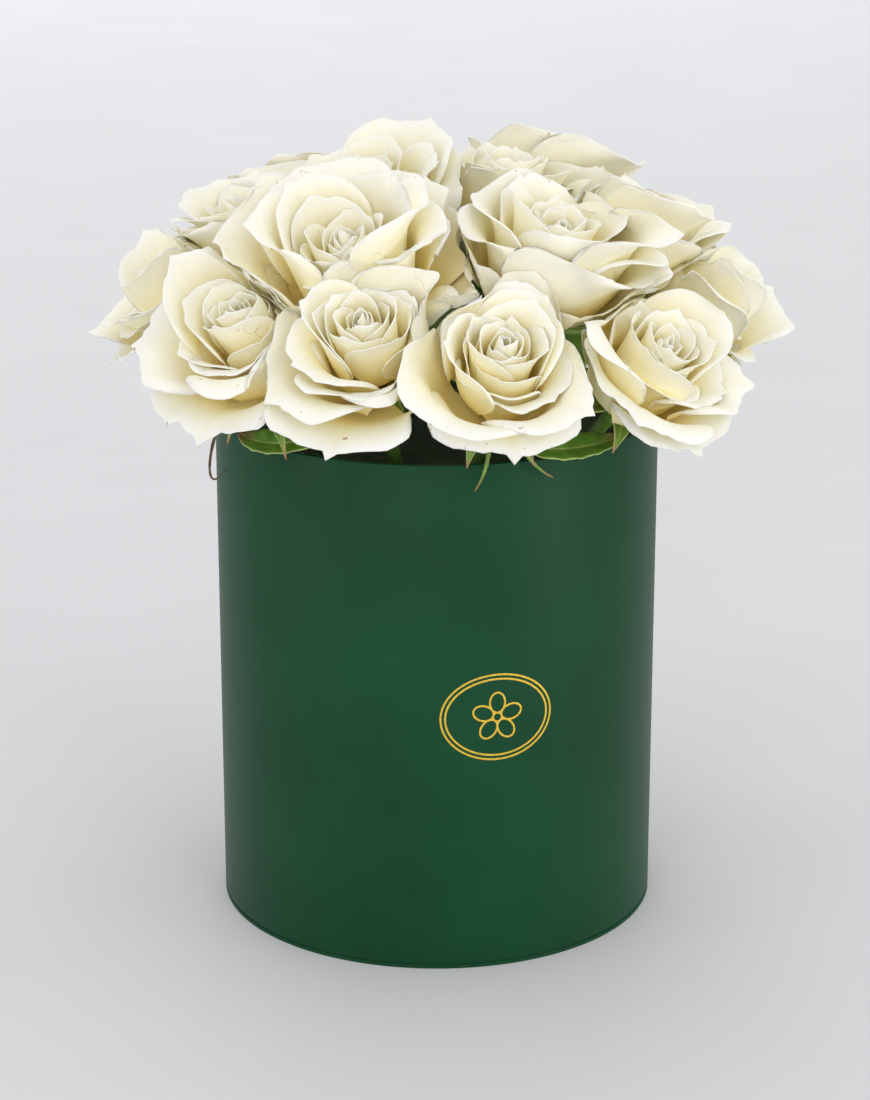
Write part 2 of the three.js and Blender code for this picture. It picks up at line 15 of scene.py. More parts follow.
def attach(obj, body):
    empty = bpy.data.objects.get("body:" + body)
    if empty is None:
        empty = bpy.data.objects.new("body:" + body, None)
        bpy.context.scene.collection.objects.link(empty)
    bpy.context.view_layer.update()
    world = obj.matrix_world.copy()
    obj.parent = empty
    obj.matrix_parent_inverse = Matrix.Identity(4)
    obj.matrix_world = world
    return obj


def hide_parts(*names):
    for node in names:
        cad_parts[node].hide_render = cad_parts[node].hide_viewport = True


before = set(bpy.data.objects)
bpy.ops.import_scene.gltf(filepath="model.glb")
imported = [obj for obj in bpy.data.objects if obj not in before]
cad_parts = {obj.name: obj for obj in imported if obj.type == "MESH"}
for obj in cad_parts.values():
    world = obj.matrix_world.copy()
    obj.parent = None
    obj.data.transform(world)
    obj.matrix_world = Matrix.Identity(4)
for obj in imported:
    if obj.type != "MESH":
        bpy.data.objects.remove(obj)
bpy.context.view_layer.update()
MM = 0.001

# %% [markdown]
# The camera stands where the photograph was taken from: straight in front, looking down a little.
# Its height, distance and lens come from the ellipses of the rim and the base in the photograph.

# %% Camera
CAMERA_PLACE = Vector((-0.83, -1300.8, 575.6)) * MM
CAMERA_PITCH = math.radians(17.59)
CAMERA_LENS = 97.27

camera_data = bpy.data.cameras.new("camera")
camera_data.lens = CAMERA_LENS
camera_data.sensor_width = 36
camera = bpy.data.objects.new("camera", camera_data)
camera.location = CAMERA_PLACE
camera.rotation_euler = (math.pi / 2 - CAMERA_PITCH, 0, 0)
bpy.context.scene.collection.objects.link(camera)
bpy.context.scene.camera = camera
print("camera at", [round(v, 3) for v in camera.location])

# %% [markdown]
# A material is a tree of nodes. Each input of a node is linked to an output of another node, or else has a
# fixed value. Colours are picked as sRGB hex values, and the shader wants linear ones.

# %% Helpers for materials


def linear(hex_colour):
    """A colour such as "#F4F1E4" as linear red, green, blue and alpha."""
    channels = [int(hex_colour[i:i + 2], 16) / 255 for i in (1, 3, 5)]
    return tuple(c / 12.92 if c <= 0.04045 else ((c + 0.055) / 1.055) ** 2.4 for c in channels) + (1.0,)


def set_inputs(node, inputs):
    """Links each input to the first output of a node or to the output given, or else fixes its value."""
    for name, value in inputs.items():
        if isinstance(value, bpy.types.Node):
            value = value.outputs[0]
        if isinstance(value, bpy.types.NodeSocket):
            node.id_data.links.new(value, node.inputs[name])
        else:
            node.inputs[name].default_value = value


def add_node(tree, kind, inputs=None, **settings):
    """Adds a node of any kind with its settings, fixed values and links."""
    node = tree.nodes.new(kind)
    for name, value in settings.items():
        setattr(node, name, value)
    set_inputs(node, inputs or {})
    return node


def new_material(name):
    """A material, its node tree, its Principled shader and the place of each point on the object."""
    material = bpy.data.materials.new(name)
    material.use_nodes = True
    tree = material.node_tree
    place = add_node(tree, "ShaderNodeTexCoord").outputs["Object"]
    return material, tree, tree.nodes["Principled BSDF"], place


def set_stops(ramp, stops):
    """Gives a colour ramp its stops, as (place, hex colour) from left to right."""
    elements = ramp.color_ramp.elements
    while len(elements) < len(stops):
        elements.new(1.0)
    for element, (place, colour) in zip(elements, stops):
        element.position = place
        element.color = linear(colour)


print("material helpers ready")

# %% [markdown]
# Pieces are modelled with operators, which act on what is selected. So each step starts by deselecting
# everything. A finished piece has its place in its mesh, and rides on the part's one body.

# %% Helpers for pieces


def select_only(*objects):
    for obj in bpy.context.selected_objects:
        obj.select_set(False)
    for obj in objects:
        obj.select_set(True)
    bpy.context.view_layer.objects.active = objects[0] if objects else None


def add_primitive(operator, name, **sizes):
    """Adds a mesh primitive with nothing else selected."""
    select_only()
    operator(**sizes)
    obj = bpy.context.active_object
    obj.name = name
    return obj


def smooth_faces(obj, only_quads=False):
    """Smooth shading, on all faces or only on the four-sided ones, so that end caps stay flat."""
    for polygon in obj.data.polygons:
        polygon.use_smooth = not only_quads or len(polygon.vertices) == 4


def apply_modifiers(obj):
    select_only(obj)
    for modifier in list(obj.modifiers):
        bpy.ops.object.modifier_apply(modifier=modifier.name)


def points_of(obj):
    points = np.empty(len(obj.data.vertices) * 3)
    obj.data.vertices.foreach_get("co", points)
    return points.reshape(-1, 3)


def move_points(obj, points):
    obj.data.vertices.foreach_set("co", points.ravel())
    obj.data.update()


def join_pieces(name, pieces):
    select_only(*pieces)
    bpy.ops.object.join()
    joined = bpy.context.active_object
    joined.name = name
    joined.data.name = name
    return joined


def finish_piece(obj, material, replaced=()):
    """Gives a piece its material, unless its parts have theirs, and seats it on the body."""
    select_only(obj)
    bpy.ops.object.transform_apply(location=True, rotation=True, scale=True)
    if material:
        obj.data.materials.append(material)
    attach(obj, "root")
    if replaced:
        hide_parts(*replaced)
    return obj


print("piece helpers ready")

# %% [markdown]
# The roses stand in three rings, and every stem aims at one point deep in the foam. So the blooms' tips
# lie on a dome, and each bloom leans out more the further it stands from the middle. These are the
# driving sizes of the solids, in millimetres, so that every petal lands on its own bloom.

# %% Places of the roses
BOX_RADIUS = 100.0
BOX_HEIGHT = 232.0
FOAM_TOP = 220.0
DOME_RADIUS = 150.0
DOME_RISE = 112.0
STEM_FOCUS_Z = 124.0
# The roses of each ring: distance from the box's axis, bearing in degrees, weight in sharing the room.
RINGS = [
    [(120, -15, 1.0), (128, 12.5, 1.0), (133, 47.5, 0.97), (125, 84, 1.0), (121, 124, 1.0),
     (124, 160, 1.0), (124, 196, 1.0), (121, 233, 1.0), (122, 275, 1.0), (122, 316.5, 1.0)],
    [(83, -28, 1.45), (81, 41, 0.92), (89, 87, 1.0), (81, 151, 1.0), (81, 213, 1.0), (81, 274, 0.9)],
    [(34, 270, 1.15), (34, 110, 1.0)],
]
ROSE_SPIN = math.radians(67)
BLOOM_HEIGHT = 41.0
# Forward lean of some blooms on their stems, in degrees.
LEANS = {17: 16, 18: 6, 11: 4}


def on_bearing(radius, bearing, z):
    """A point at a distance from the box's axis; bearings run from the front towards the right."""
    turned = math.radians(bearing)
    return np.array([radius * math.sin(turned), -radius * math.cos(turned), z])


def unit(vector):
    return vector / np.linalg.norm(vector)


def unit_rows(vectors):
    return vectors / np.linalg.norm(vectors, axis=1)[:, None]


def place_rose(ring, radius, bearing, weight):
    rise = DOME_RISE * math.sqrt(1 - (radius / DOME_RADIUS) ** 2)
    tip = on_bearing(radius, bearing, BOX_HEIGHT + rise)
    axis = unit(tip - np.array([0, 0, STEM_FOCUS_Z]))
    outward = on_bearing(1, bearing, 0)
    x = unit(outward - axis * outward.dot(axis))
    return {"ring": ring, "bearing": bearing, "weight": weight, "axis": axis,
            "root": tip - axis * BLOOM_HEIGHT, "axes": np.array([x, np.cross(axis, x), axis])}


roses = [place_rose(ring, *place) for ring, places in enumerate(RINGS) for place in places]
for number, rose in enumerate(roses, 1):
    rose["number"] = number


def to_box(rose, points):
    """Points in a rose's own frame, as points in the box's frame."""
    return rose["root"] + points @ rose["axes"]


def bloom_to_box(rose, points):
    """The same for the points of a bloom, which may lean forward on its stem."""
    lean = Matrix.Rotation(math.radians(LEANS.get(rose["number"], 0)), 3, "X")
    return rose["root"] + points @ rose["axes"] @ np.array(lean).T


print("roses:", len(roses))

# %% [markdown]
# Packed roses press on each other, and their petals never pass through the neighbour's. Here a leaning
# plane parts each pair of neighbours, and every petal's points are pressed back softly behind it. The
# plane is given a gentle wave, which both neighbours share, so that no straight seam shows between them.

# %% Room between neighbours
CELL_LEVEL = 20.0
CELL_LEAN = math.radians(20)
CELL_GAP = 0.7
BORDER_WAVE = 1.8
BORDER_RIPPLES = ((0.13, 0.06, 0.12), (-0.19, 0.18, 0.05))
BORDER_SIDE = (1, 0.7, 0.3)
CELL_LAYER = 0.8
CELL_SOFTNESS = 2.0
NEIGHBOUR_REACH = 110.0
ROOM_LEVEL = 30.0
ROOM_MOST = 62.0


def lies_over(i, j):
    """In a ring each rose lies over the one on its left; between rings the two take turns."""
    if roses[i]["ring"] == roses[j]["ring"]:
        return (roses[i]["bearing"] - roses[j]["bearing"] + 720) % 360 < 180
    return (roses[i]["ring"] < roses[j]["ring"]) == ((i + j) % 2 == 0)


def cell_planes(i):
    planes = []
    here = roses[i]["root"] + roses[i]["axis"] * CELL_LEVEL
    for j, other in enumerate(roses):
        towards = other["root"] + other["axis"] * CELL_LEVEL - here
        distance = np.linalg.norm(towards)
        if j == i or distance > NEIGHBOUR_REACH:
            continue
        border = here + towards * roses[i]["weight"] / (roses[i]["weight"] + other["weight"])
        towards = towards / distance
        up = roses[i]["axis"] + other["axis"]
        up = unit(up - towards * up.dot(towards))
        over = 1 if lies_over(i, j) else -1
        normal = towards * math.cos(CELL_LEAN) - up * over * math.sin(CELL_LEAN)
        planes.append((normal, normal.dot(border)))
    return planes


def room_towards(rose, bearing):
    """How far a bloom can spread in a direction before it meets a neighbour."""
    direction = np.array([math.cos(bearing), math.sin(bearing), 0]) @ rose["axes"]
    centre = rose["root"] + rose["axis"] * ROOM_LEVEL
    room = ROOM_MOST
    for normal, offset in rose["planes"]:
        facing = normal.dot(direction)
        if facing > 0.05:
            room = min(room, (offset - normal.dot(centre)) / facing)
    return room


def border_wave(points, normal):
    """How far a border bulges; it is the same bulge seen from the neighbour, so the sign turns round."""
    long_ripple, short_ripple = BORDER_RIPPLES
    wave = np.sin(points @ long_ripple) + 0.6 * np.sin(points @ short_ripple + 1)
    return BORDER_WAVE * np.sign(normal @ BORDER_SIDE) * wave


def press_into(planes, points, gap):
    """Points pressed behind the waved planes, softly the first time and then just as far as needed."""
    for turn in range(4):
        for normal, offset in planes:
            past = points @ normal - offset + gap - border_wave(points, normal)
            soft = -CELL_SOFTNESS * np.log1p(np.exp(np.minimum(-past / CELL_SOFTNESS, 40)))
            target = np.minimum(soft, past) if turn == 0 else np.minimum(past, 0)
            points = points + np.outer(target - past, normal)
    return points


for i, rose in enumerate(roses):
    rose["planes"] = cell_planes(i)
print("neighbours of the first rose:", len(roses[0]["planes"]))

# %% [markdown]
# A rose's petals change with their age, from the small upright ones of the heart to the wide outer ones
# that bow right back. So each measure of a petal is a row of values, read at the petal's age from 0 to 1.
# Angles are in degrees and lengths in millimetres.

# %% Petals by age
PETAL_COUNT = 24
COLLAR_PETALS = 5
# Each row gives a value at these ages, from the innermost petal to the outermost.
AGES = (0, 0.15, 0.3, 0.5, 0.7, 0.85, 1)
PETAL_LENGTH = (30, 33, 37, 44, 53, 59, 62)
PETAL_HALF_WIDTH = (8, 11, 15, 22, 29, 36, 42)
ROOT_HEADING = (20, 34, 46, 60, 78, 87, 94)
MIDDLE_HEADING = (-2, 0, 2, 4, 9, 17, 30)
TIP_HEADING = (-16, -8, 2, 18, 44, 68, 92)
MARGIN_ROLL = (0.1, 0.3, 0.7, 1.3, 1.8, 2.0, 2.0)
LIP_SIZE = (0.1, 0.2, 0.3, 0.5, 0.8, 1.1, 1.2)
SPIRAL_TUCK = (0.5, 0.45, 0.4, 0.35, 0.3, 0.2, 0.15)
WAVE_HEIGHT = (0.5, 0.7, 1.0, 1.3, 1.7, 2.1, 2.4)
POINT_LENGTH = (1.6, 2.2, 2.8, 3.2, 3.8, 4.6, 5.2)
# Where the root of the innermost and of the outermost petal stands in the bloom.
ROOT_OUT = (1.2, 6.0)
ROOT_UP = (12.0, 1.0)


def swing(rose, piece, use):
    """A repeatable draw from -1 to 1 for a rose, one of its pieces and a use."""
    x = math.sin(rose * 12.9898 + piece * 78.233 + use * 39.107) * 43758.5453
    return 2 * (x - math.floor(x)) - 1


def at_age(row, age):
    return float(np.interp(age, AGES, row))


def smooth(x, low, high):
    t = np.clip((x - low) / (high - low), 0, 1)
    return t * t * (3 - 2 * t)


def mix(a, b, t):
    return a + (b - a) * t


def walk(start, moves):
    """The places reached by a row of moves, from the start on."""
    return start + np.concatenate([[0], np.cumsum(moves)])


print("petals in a bloom:", PETAL_COUNT, "and in an inner bloom:", PETAL_COUNT + COLLAR_PETALS)

# %% [markdown]
# Two numbers place each point of a petal: how far across and how far along. The middle line is a curve
# that turns from the heading of the root to that of the tip, as a real petal cups and then bows back. The
# outline is narrow at the claw and full above the middle, and its top edge runs out in a few soft points.

# %% Middle line and outline of a petal
WIDEST_AT = 0.7
SHOULDER = 0.58
POINTS = 4
SPINE_STEPS = 48


def petal_spine(number, index, age, length, droop):
    """The petal's middle line, as distance, height and heading at even steps of length."""
    root = math.radians(at_age(ROOT_HEADING, age))
    middle = math.radians(at_age(MIDDLE_HEADING, age) + 6 * swing(number, index, 1) * age + droop)
    tip = math.radians(at_age(TIP_HEADING, age) + 22 * swing(number, index, 2) * age + droop)

    def heading(s):
        return root + (middle - root) * smooth(s, 0, 0.45) + (tip - middle) * smooth(s, 0.55, 1) ** 1.2

    step = length / SPINE_STEPS
    halves = heading((np.arange(SPINE_STEPS) + 0.5) / SPINE_STEPS)
    out = walk(mix(*ROOT_OUT, age), np.sin(halves) * step)
    up = walk(mix(*ROOT_UP, age), np.cos(halves) * step)
    return out, up, heading(np.linspace(0, 1, SPINE_STEPS + 1))


def fullness(s):
    """A petal's half width along its length, as a share of its widest."""
    claw = 0.16 + 0.84 * np.sin(np.pi / 2 * np.clip(s / WIDEST_AT, 0, 1)) ** 0.95
    return np.where(s > WIDEST_AT, 1 - 0.12 * ((s - WIDEST_AT) / (1 - WIDEST_AT)) ** 2, claw)


def petal_edge(number, index, age, length, across):
    """How far the petal's top edge stands out at each place across, as a share of the length."""
    reach = np.abs(across)
    edge = SHOULDER + (1 - SHOULDER) * (1 - reach ** 2.3) ** (1 / 2.3)
    for k in range(POINTS):
        centre = 0.12 * swing(number, index, 30) if k == 0 else 0.75 * swing(number, index, 30 + k)
        size = at_age(POINT_LENGTH, age) / length * (1 if k == 0 else 0.8 * swing(number, index, 40 + k))
        edge = edge + size * np.exp(-np.abs(across - centre) / 0.09) * (1 - reach ** 4)
    ragged = 0.35 * np.sin(19 * across + 7 * swing(number, index, 50)) + 0.25 * np.sin(31 * across + index)
    return edge + ragged * smooth(age, 0.3, 0.8) / length


print("width of a petal at its claw, as a share:", round(float(fullness(np.zeros(1))[0]), 2))

# %% [markdown]
# Petals stand in a spiral by the golden angle, and the outer ones find the free corners between the
# neighbours. There they grow longer, and where a neighbour is near they stay short. Blooms at the rim
# droop a little outwards. A few roses in front have their own lengths and droops, seen in the photograph.

# %% Place and growth of a petal
GOLDEN_ANGLE = math.radians(137.508)
WHORL = 5
CORNER_TURN = math.radians(9)
ROOM_USUAL = 34.0
SHARE_LEAST = 0.7
SHARE_MOST = 1.35
SHARE_OUTSIDE = 0.7
OPEN_FROM = 50.0
INSIDE_SHORTER = 0.2
CROWN_SHARE = 0.78
OUTSIDE_DROOP = 9
COLLAR_DROOP = 32
# Share of the length for the front petals of some roses at the rim, and their droop in degrees.
FRONT_SHARES = {1: 0.85, 4: 0.5, 8: 0.6, 10: 0.8}
FRONT_DROOPS = {1: 18, 2: 5, 3: 8, 10: 16}
# Single petals that are shorter, as (rose, petal): share of the length.
PETAL_CHANGES = {(3, 11): 0.86, (3, 14): 0.78, (3, 16): 0.9, (12, 23): 0.76}


def petal_bearing(rose, index):
    """Petals follow the golden angle, but the ten outermost stand in two whorls and find the corners."""
    number = rose["number"]
    from_last = PETAL_COUNT - 1 - index
    loose = 0.15 * swing(number, index, 6)
    if from_last >= 2 * WHORL:
        return GOLDEN_ANGLE * index + ROSE_SPIN * number + 2 * loose
    turns = (from_last * 2 + (0 if 0 <= from_last < WHORL else 0.5)) / WHORL
    bearings = [turns * 2 * math.pi + turn * CORNER_TURN for turn in (0, 1, -1, 2, -2)]
    return max(bearings, key=lambda bearing: room_towards(rose, bearing)) + loose


def room_share(rose, bearing):
    """How much longer or shorter than usual a petal grows in the room that it has."""
    room = room_towards(rose, bearing)
    most = SHARE_MOST
    if rose["ring"] == 0:
        most = mix(SHARE_MOST, 1, smooth(room, OPEN_FROM, ROOM_MOST))
        outside = FRONT_SHARES.get(rose["number"], SHARE_OUTSIDE)
        most = mix(most, outside, smooth(math.cos(bearing), 0.3, 0.9))
    shorter = INSIDE_SHORTER * max(-math.cos(bearing), 0)
    if rose["ring"] == 2:
        shorter = 1 - CROWN_SHARE
    return float(np.clip(room / ROOM_USUAL, SHARE_LEAST, most)) * (1 - shorter)


def petal_growth(rose, index, age, bearing):
    """A petal's share of the usual length, its length, and its droop in degrees."""
    number = rose["number"]
    share = mix(1, room_share(rose, bearing), smooth(age, 0.35, 0.7))
    uneven = 1 + mix(0.12, 0.05, smooth(age, 0.2, 0.42)) * swing(number, index, 3)
    length = share * at_age(PETAL_LENGTH, age) * uneven * PETAL_CHANGES.get((number, index), 1)
    if index >= PETAL_COUNT:
        return share, length, COLLAR_DROOP
    droop = FRONT_DROOPS.get(number, OUTSIDE_DROOP * (rose["ring"] == 0))
    return share, length, droop * smooth(age, 0.5, 1) * max(math.cos(bearing), 0)


last_bearing = math.degrees(petal_bearing(roses[0], PETAL_COUNT - 1))
print("bearing of the outermost petal in degrees:", round(last_bearing))

# %% [markdown]
# A petal's cross-section wraps round the bloom, tighter near the heart, and its margins roll out again.
# Low waves, a faint crease along the middle and a thin rolled lip make it look grown and not cut.

# %% The points of a petal
LIP_FROM = 0.86
ARC_STEPS = 16


def petal_section(number, index, age, across, s, width, heading, out):
    """How far each point lies inward and sideways from the petal's middle line."""
    side = np.where(across < 0, -1, 1)
    reach = np.abs(across)
    wrap = np.maximum(np.cos(heading), 0.1) / np.maximum(out, 2.2)
    slack = 1 + 0.35 * swing(number, index, 4)
    roll = 3 * at_age(MARGIN_ROLL, age) * slack * smooth(s, 0.35, 0.8) / width
    tuck = side * at_age(SPIRAL_TUCK, age)
    m = reach[:, None] * (np.arange(ARC_STEPS) + 0.5) / ARC_STEPS
    bend = wrap[:, None] * (1 - tuck[:, None] * m) * (1 - smooth(m, 0.65, 0.9))
    bend = bend - roll[:, None] * smooth(m, 0.7, 1)
    step = (reach * width / ARC_STEPS)[:, None]
    turn = np.cumsum(bend * step, axis=1) - bend * step / 2
    return np.sum(np.sin(turn) * step, axis=1), side * np.sum(np.cos(turn) * step, axis=1)


def petal_relief(number, index, age, across, along, s):
    """How far waves, crease and lip lift each point inward, and how far the lip turns back."""
    phases = [6.283 * swing(number, index, use) for use in (21, 22, 23)]
    wave = at_age(WAVE_HEIGHT, age) * s ** 2 * (
        0.45 * np.sin(4.2 * across + phases[0])
        + 0.6 * np.sin(8.1 * across + phases[1]) * np.abs(across) * along
        + 0.25 * np.sin(5 * s + 3 * across + phases[2]))
    crease = -0.6 * age * np.exp(-(across / 0.07) ** 2) * smooth(s, 0.3, 0.9)
    lip = np.clip((along - LIP_FROM) / (1 - LIP_FROM), 0, 1)
    lip_size = at_age(LIP_SIZE, age) * (1 + 0.6 * np.sin(2.6 * across + phases[2]))
    return wave + crease - lip_size * lip ** 2, -0.6 * lip_size * lip ** 3


def petal_points(rose, index, across, along):
    """The points of a petal in its bloom's own frame."""
    number = rose["number"]
    age = min(index / (PETAL_COUNT - 1), 1)
    bearing = petal_bearing(rose, index)
    share, length, droop = petal_growth(rose, index, age, bearing)
    outs, ups, headings = petal_spine(number, index, age, length, droop)
    s = along * petal_edge(number, index, age, length, across)
    steps = np.linspace(0, 1, SPINE_STEPS + 1)
    beyond = np.maximum(s - 1, 0) * length
    heading = np.interp(s, steps, headings)
    out = np.interp(s, steps, outs) + beyond * np.sin(heading)
    up = np.interp(s, steps, ups) + beyond * np.cos(heading)
    width = math.sqrt(share) * at_age(PETAL_HALF_WIDTH, age) * fullness(s)
    inward, sideways = petal_section(number, index, age, across, s, width, heading, out)
    lift, back = petal_relief(number, index, age, across, along, s)
    inward = inward + lift
    distance = out - np.cos(heading) * inward + np.sin(heading) * back
    height = up + np.sin(heading) * inward + np.cos(heading) * back
    offset = sideways + math.radians(7) * swing(number, index, 5) * age * height
    c, d = math.cos(bearing), math.sin(bearing)
    return np.column_stack([distance * c - offset * d, distance * d + offset * c, height])


outermost = petal_points(roses[0], PETAL_COUNT - 1, np.zeros(1), np.ones(1))[0]
print("outermost petal's tip stands", round(float(outermost[2]), 1), "mm above the hip")

# %% [markdown]
# Every petal is a copy of one of two blanks, a coarser one for the small petals of the heart. A blank is a
# grid primitive with its own UV map. Its rows and columns are drawn closer towards the margins, where a
# petal rolls most tightly.

# %% The petal blanks
PETAL_THICKNESS = 0.32
INNER_PETALS = 8
MARGIN_PULL = 1.4


def add_numbers(obj):
    """Gives each point the two numbers that the petal material reads: the petal's age and a draw."""
    for attribute in ("age", "dice"):
        obj.data.attributes.new(attribute, "FLOAT", "POINT")


def grid_blank(name, columns, rows):
    """A flat grid with a UV map, and how far across (-1 to 1) and along (0 to 1) each point lies."""
    blank = add_primitive(bpy.ops.mesh.primitive_grid_add, name, x_subdivisions=columns, y_subdivisions=rows,
                          size=2)
    add_numbers(blank)
    smooth_faces(blank)
    flat = points_of(blank)
    return blank, flat[:, 0], (flat[:, 1] + 1) / 2


def copy_of(blank, points, age=1.0, dice=0.5):
    """A copy of a blank with its own mesh, its points in millimetres, and its two numbers."""
    piece = blank.copy()
    piece.data = blank.data.copy()
    bpy.context.collection.objects.link(piece)
    move_points(piece, points * MM)
    count = len(piece.data.vertices)
    piece.data.attributes["age"].data.foreach_set("value", np.full(count, age))
    piece.data.attributes["dice"].data.foreach_set("value", np.full(count, dice))
    return piece


def thicken(sheet, thickness, material=None, offset=0):
    """Gives a sheet its thickness, half on each side or with offset -1 all inward, and its material."""
    solidify = sheet.modifiers.new("thickness", "SOLIDIFY")
    solidify.thickness = thickness * MM
    solidify.offset = offset
    apply_modifiers(sheet)
    if material:
        sheet.data.materials.append(material)
    return sheet


def petal_blank(name, columns, rows):
    """The same for petals, with rows and columns drawn closer towards the margins."""
    blank, across, along = grid_blank(name, columns, rows)
    across = np.sign(across) * (1 - (1 - np.abs(across)) ** MARGIN_PULL)
    return blank, across, 1 - (1 - along) ** MARGIN_PULL


inner_blank = petal_blank("inner_petal_blank", 14, 12)
outer_blank = petal_blank("outer_petal_blank", 26, 17)
print("points in an outer petal:", len(outer_blank[1]))

# %% [markdown]
# Rose petals are thin, velvety and let light through. They are creamy white towards the tip, where they are
# open to the air, and warm yellow towards the root, deep in the bloom: partly their own cream and partly
# painted golden shade for the light that passes through and between the petals. Fine veins fan out from the
# root, and older petals carry a few tan specks. The UV map runs across and along each petal.

# %% Petal material
# The yellow stops near the root are partly the petals' own cream and partly painted golden shade.
INNER_TINT_AND_SHADE_STOPS = [(0.0, "#F4E08A"), (0.35, "#F8EBAA"), (0.6, "#FAF3CC"), (0.82, "#F9F6E3"), (0.97, "#F4F5EE")]
OUTER_TINT_AND_SHADE_STOPS = [(0.0, "#EEDF92"), (0.33, "#F6EBB6"), (0.58, "#F7F3D8"), (0.9, "#F3F3EA")]

petal_skin, tree, shader, place = new_material("rose_petal_creamy_white")
uv = add_node(tree, "ShaderNodeUVMap", uv_map="UVMap")
parts = add_node(tree, "ShaderNodeSeparateXYZ", {0: uv})
across, along = parts.outputs["X"], parts.outputs["Y"]
age = add_node(tree, "ShaderNodeAttribute", attribute_name="age").outputs["Fac"]
dice = add_node(tree, "ShaderNodeAttribute", attribute_name="dice").outputs["Fac"]

# Colour by the place along the petal, a little duller on the outer petals. The yellow towards the root is
# partly the petals' own cream and partly painted golden shade.
inner_tint_and_shade = add_node(tree, "ShaderNodeValToRGB", {0: along})
set_stops(inner_tint_and_shade, INNER_TINT_AND_SHADE_STOPS)
outer_tint_and_shade = add_node(tree, "ShaderNodeValToRGB", {0: along})
set_stops(outer_tint_and_shade, OUTER_TINT_AND_SHADE_STOPS)
by_age = add_node(tree, "ShaderNodeMapRange", {"Value": age, "From Min": 0.35, "From Max": 0.95})
colour = add_node(tree, "ShaderNodeMix", {0: by_age, 6: inner_tint_and_shade, 7: outer_tint_and_shade}, data_type="RGBA")

# Veins fan out from the root, about a millimetre apart at the widest part of a petal.
middle = add_node(tree, "ShaderNodeMath", {0: across, 1: 0.5}, operation="SUBTRACT")
vein_place = add_node(tree, "ShaderNodeCombineXYZ", {"X": middle, "Y": along, "Z": dice})
fan = add_node(tree, "ShaderNodeVectorMath", {0: vein_place, 1: (46.0, 3.2, 31.0)}, operation="MULTIPLY")
veins = add_node(tree, "ShaderNodeTexNoise", {"Vector": fan, "Scale": 1.0, "Detail": 3.0, "Roughness": 0.55})
tint = add_node(tree, "ShaderNodeMapRange", {"Value": veins, "From Min": 0.35, "From Max": 0.65,
                                             "To Min": 0.985, "To Max": 1.01})
veined = add_node(tree, "ShaderNodeMix", {0: 1.0, 6: colour.outputs[2], 7: tint},
                  data_type="RGBA", blend_type="MULTIPLY")

# Specks of tan, one or two millimetres across, and bruised margins, mostly on the outer petals.
twice = add_node(tree, "ShaderNodeMath", {0: middle, 1: 2.0}, operation="MULTIPLY")
margin = add_node(tree, "ShaderNodeMath", {0: twice}, operation="ABSOLUTE")
near_margin = add_node(tree, "ShaderNodeMath", {0: margin, 1: along}, operation="MAXIMUM")
speck_level = add_node(tree, "ShaderNodeMapRange", {"Value": near_margin, "From Min": 0.6, "From Max": 1.0,
                                                    "To Min": 0.8, "To Max": 0.66})
specks = add_node(tree, "ShaderNodeTexNoise", {"Vector": place, "Scale": 210.0, "Detail": 2.0})
over_level = add_node(tree, "ShaderNodeMath", {0: specks, 1: speck_level}, operation="SUBTRACT")
speck_mask = add_node(tree, "ShaderNodeMapRange", {"Value": over_level, "From Max": 0.05, "To Max": 0.75})
aged_mask = add_node(tree, "ShaderNodeMath", {0: speck_mask, 1: by_age}, operation="MULTIPLY")

# Creases bruise to thin tan lines, up to a few centimetres long, where a coarse noise lets them.
wander = add_node(tree, "ShaderNodeTexNoise", {"Vector": place, "Scale": 42.0, "Detail": 3.0,
                                               "Roughness": 0.6})
off_line = add_node(tree, "ShaderNodeMath", {0: wander, 1: 0.5}, operation="SUBTRACT")
line_distance = add_node(tree, "ShaderNodeMath", {0: off_line}, operation="ABSOLUTE")
line_mask = add_node(tree, "ShaderNodeMapRange", {"Value": line_distance, "From Min": 0.001,
                                                  "From Max": 0.0045, "To Min": 1.0, "To Max": 0.0})
shifted = add_node(tree, "ShaderNodeVectorMath", {0: place, 1: (0.7, 0.2, 0.4)}, operation="ADD")
patches = add_node(tree, "ShaderNodeTexNoise", {"Vector": shifted, "Scale": 23.0, "Detail": 1.0})
patch = add_node(tree, "ShaderNodeMapRange", {"Value": patches, "From Min": 0.62, "From Max": 0.7,
                                              "To Max": 0.6})
bruise = add_node(tree, "ShaderNodeMath", {0: line_mask, 1: patch}, operation="MULTIPLY")
marked = add_node(tree, "ShaderNodeMath", {0: aged_mask, 1: bruise}, operation="MAXIMUM")
speckled = add_node(tree, "ShaderNodeMix", {0: marked, 6: veined.outputs[2], 7: linear("#AD8440")},
                    data_type="RGBA")

# The veins stand up about a tenth of a millimetre, and the skin swells gently between them.
swell = add_node(tree, "ShaderNodeTexNoise", {"Vector": place, "Scale": 130.0, "Detail": 1.0})
relief = add_node(tree, "ShaderNodeMath", {0: swell, 1: veins}, operation="ADD")
bump = add_node(tree, "ShaderNodeBump", {"Height": relief, "Strength": 0.3, "Distance": 0.0005})
set_inputs(shader, {"Base Color": speckled.outputs[2], "Normal": bump, "Roughness": 0.6, "IOR": 1.4,
                    "Specular IOR Level": 0.2, "Subsurface Weight": 0.25,
                    "Subsurface Radius": (1.0, 0.9, 0.6), "Subsurface Scale": 0.003})
print("material", petal_skin.name)

# %% [markdown]
# Now the blooms. Each one takes two dozen copies of the blanks, shaped by the petal formula, stood on its
# stem's axis and pressed into its own room. The inner blooms get five more petals that droop below as a
# collar and close the gaps between the roses. A small bud fills the heart, where no petal shows.

# %% The blooms
BUD_SIZE = (6.0, 6.0, 13.0)
BUD_MIDDLE = 13.0
LEAST_GAP = 0.45


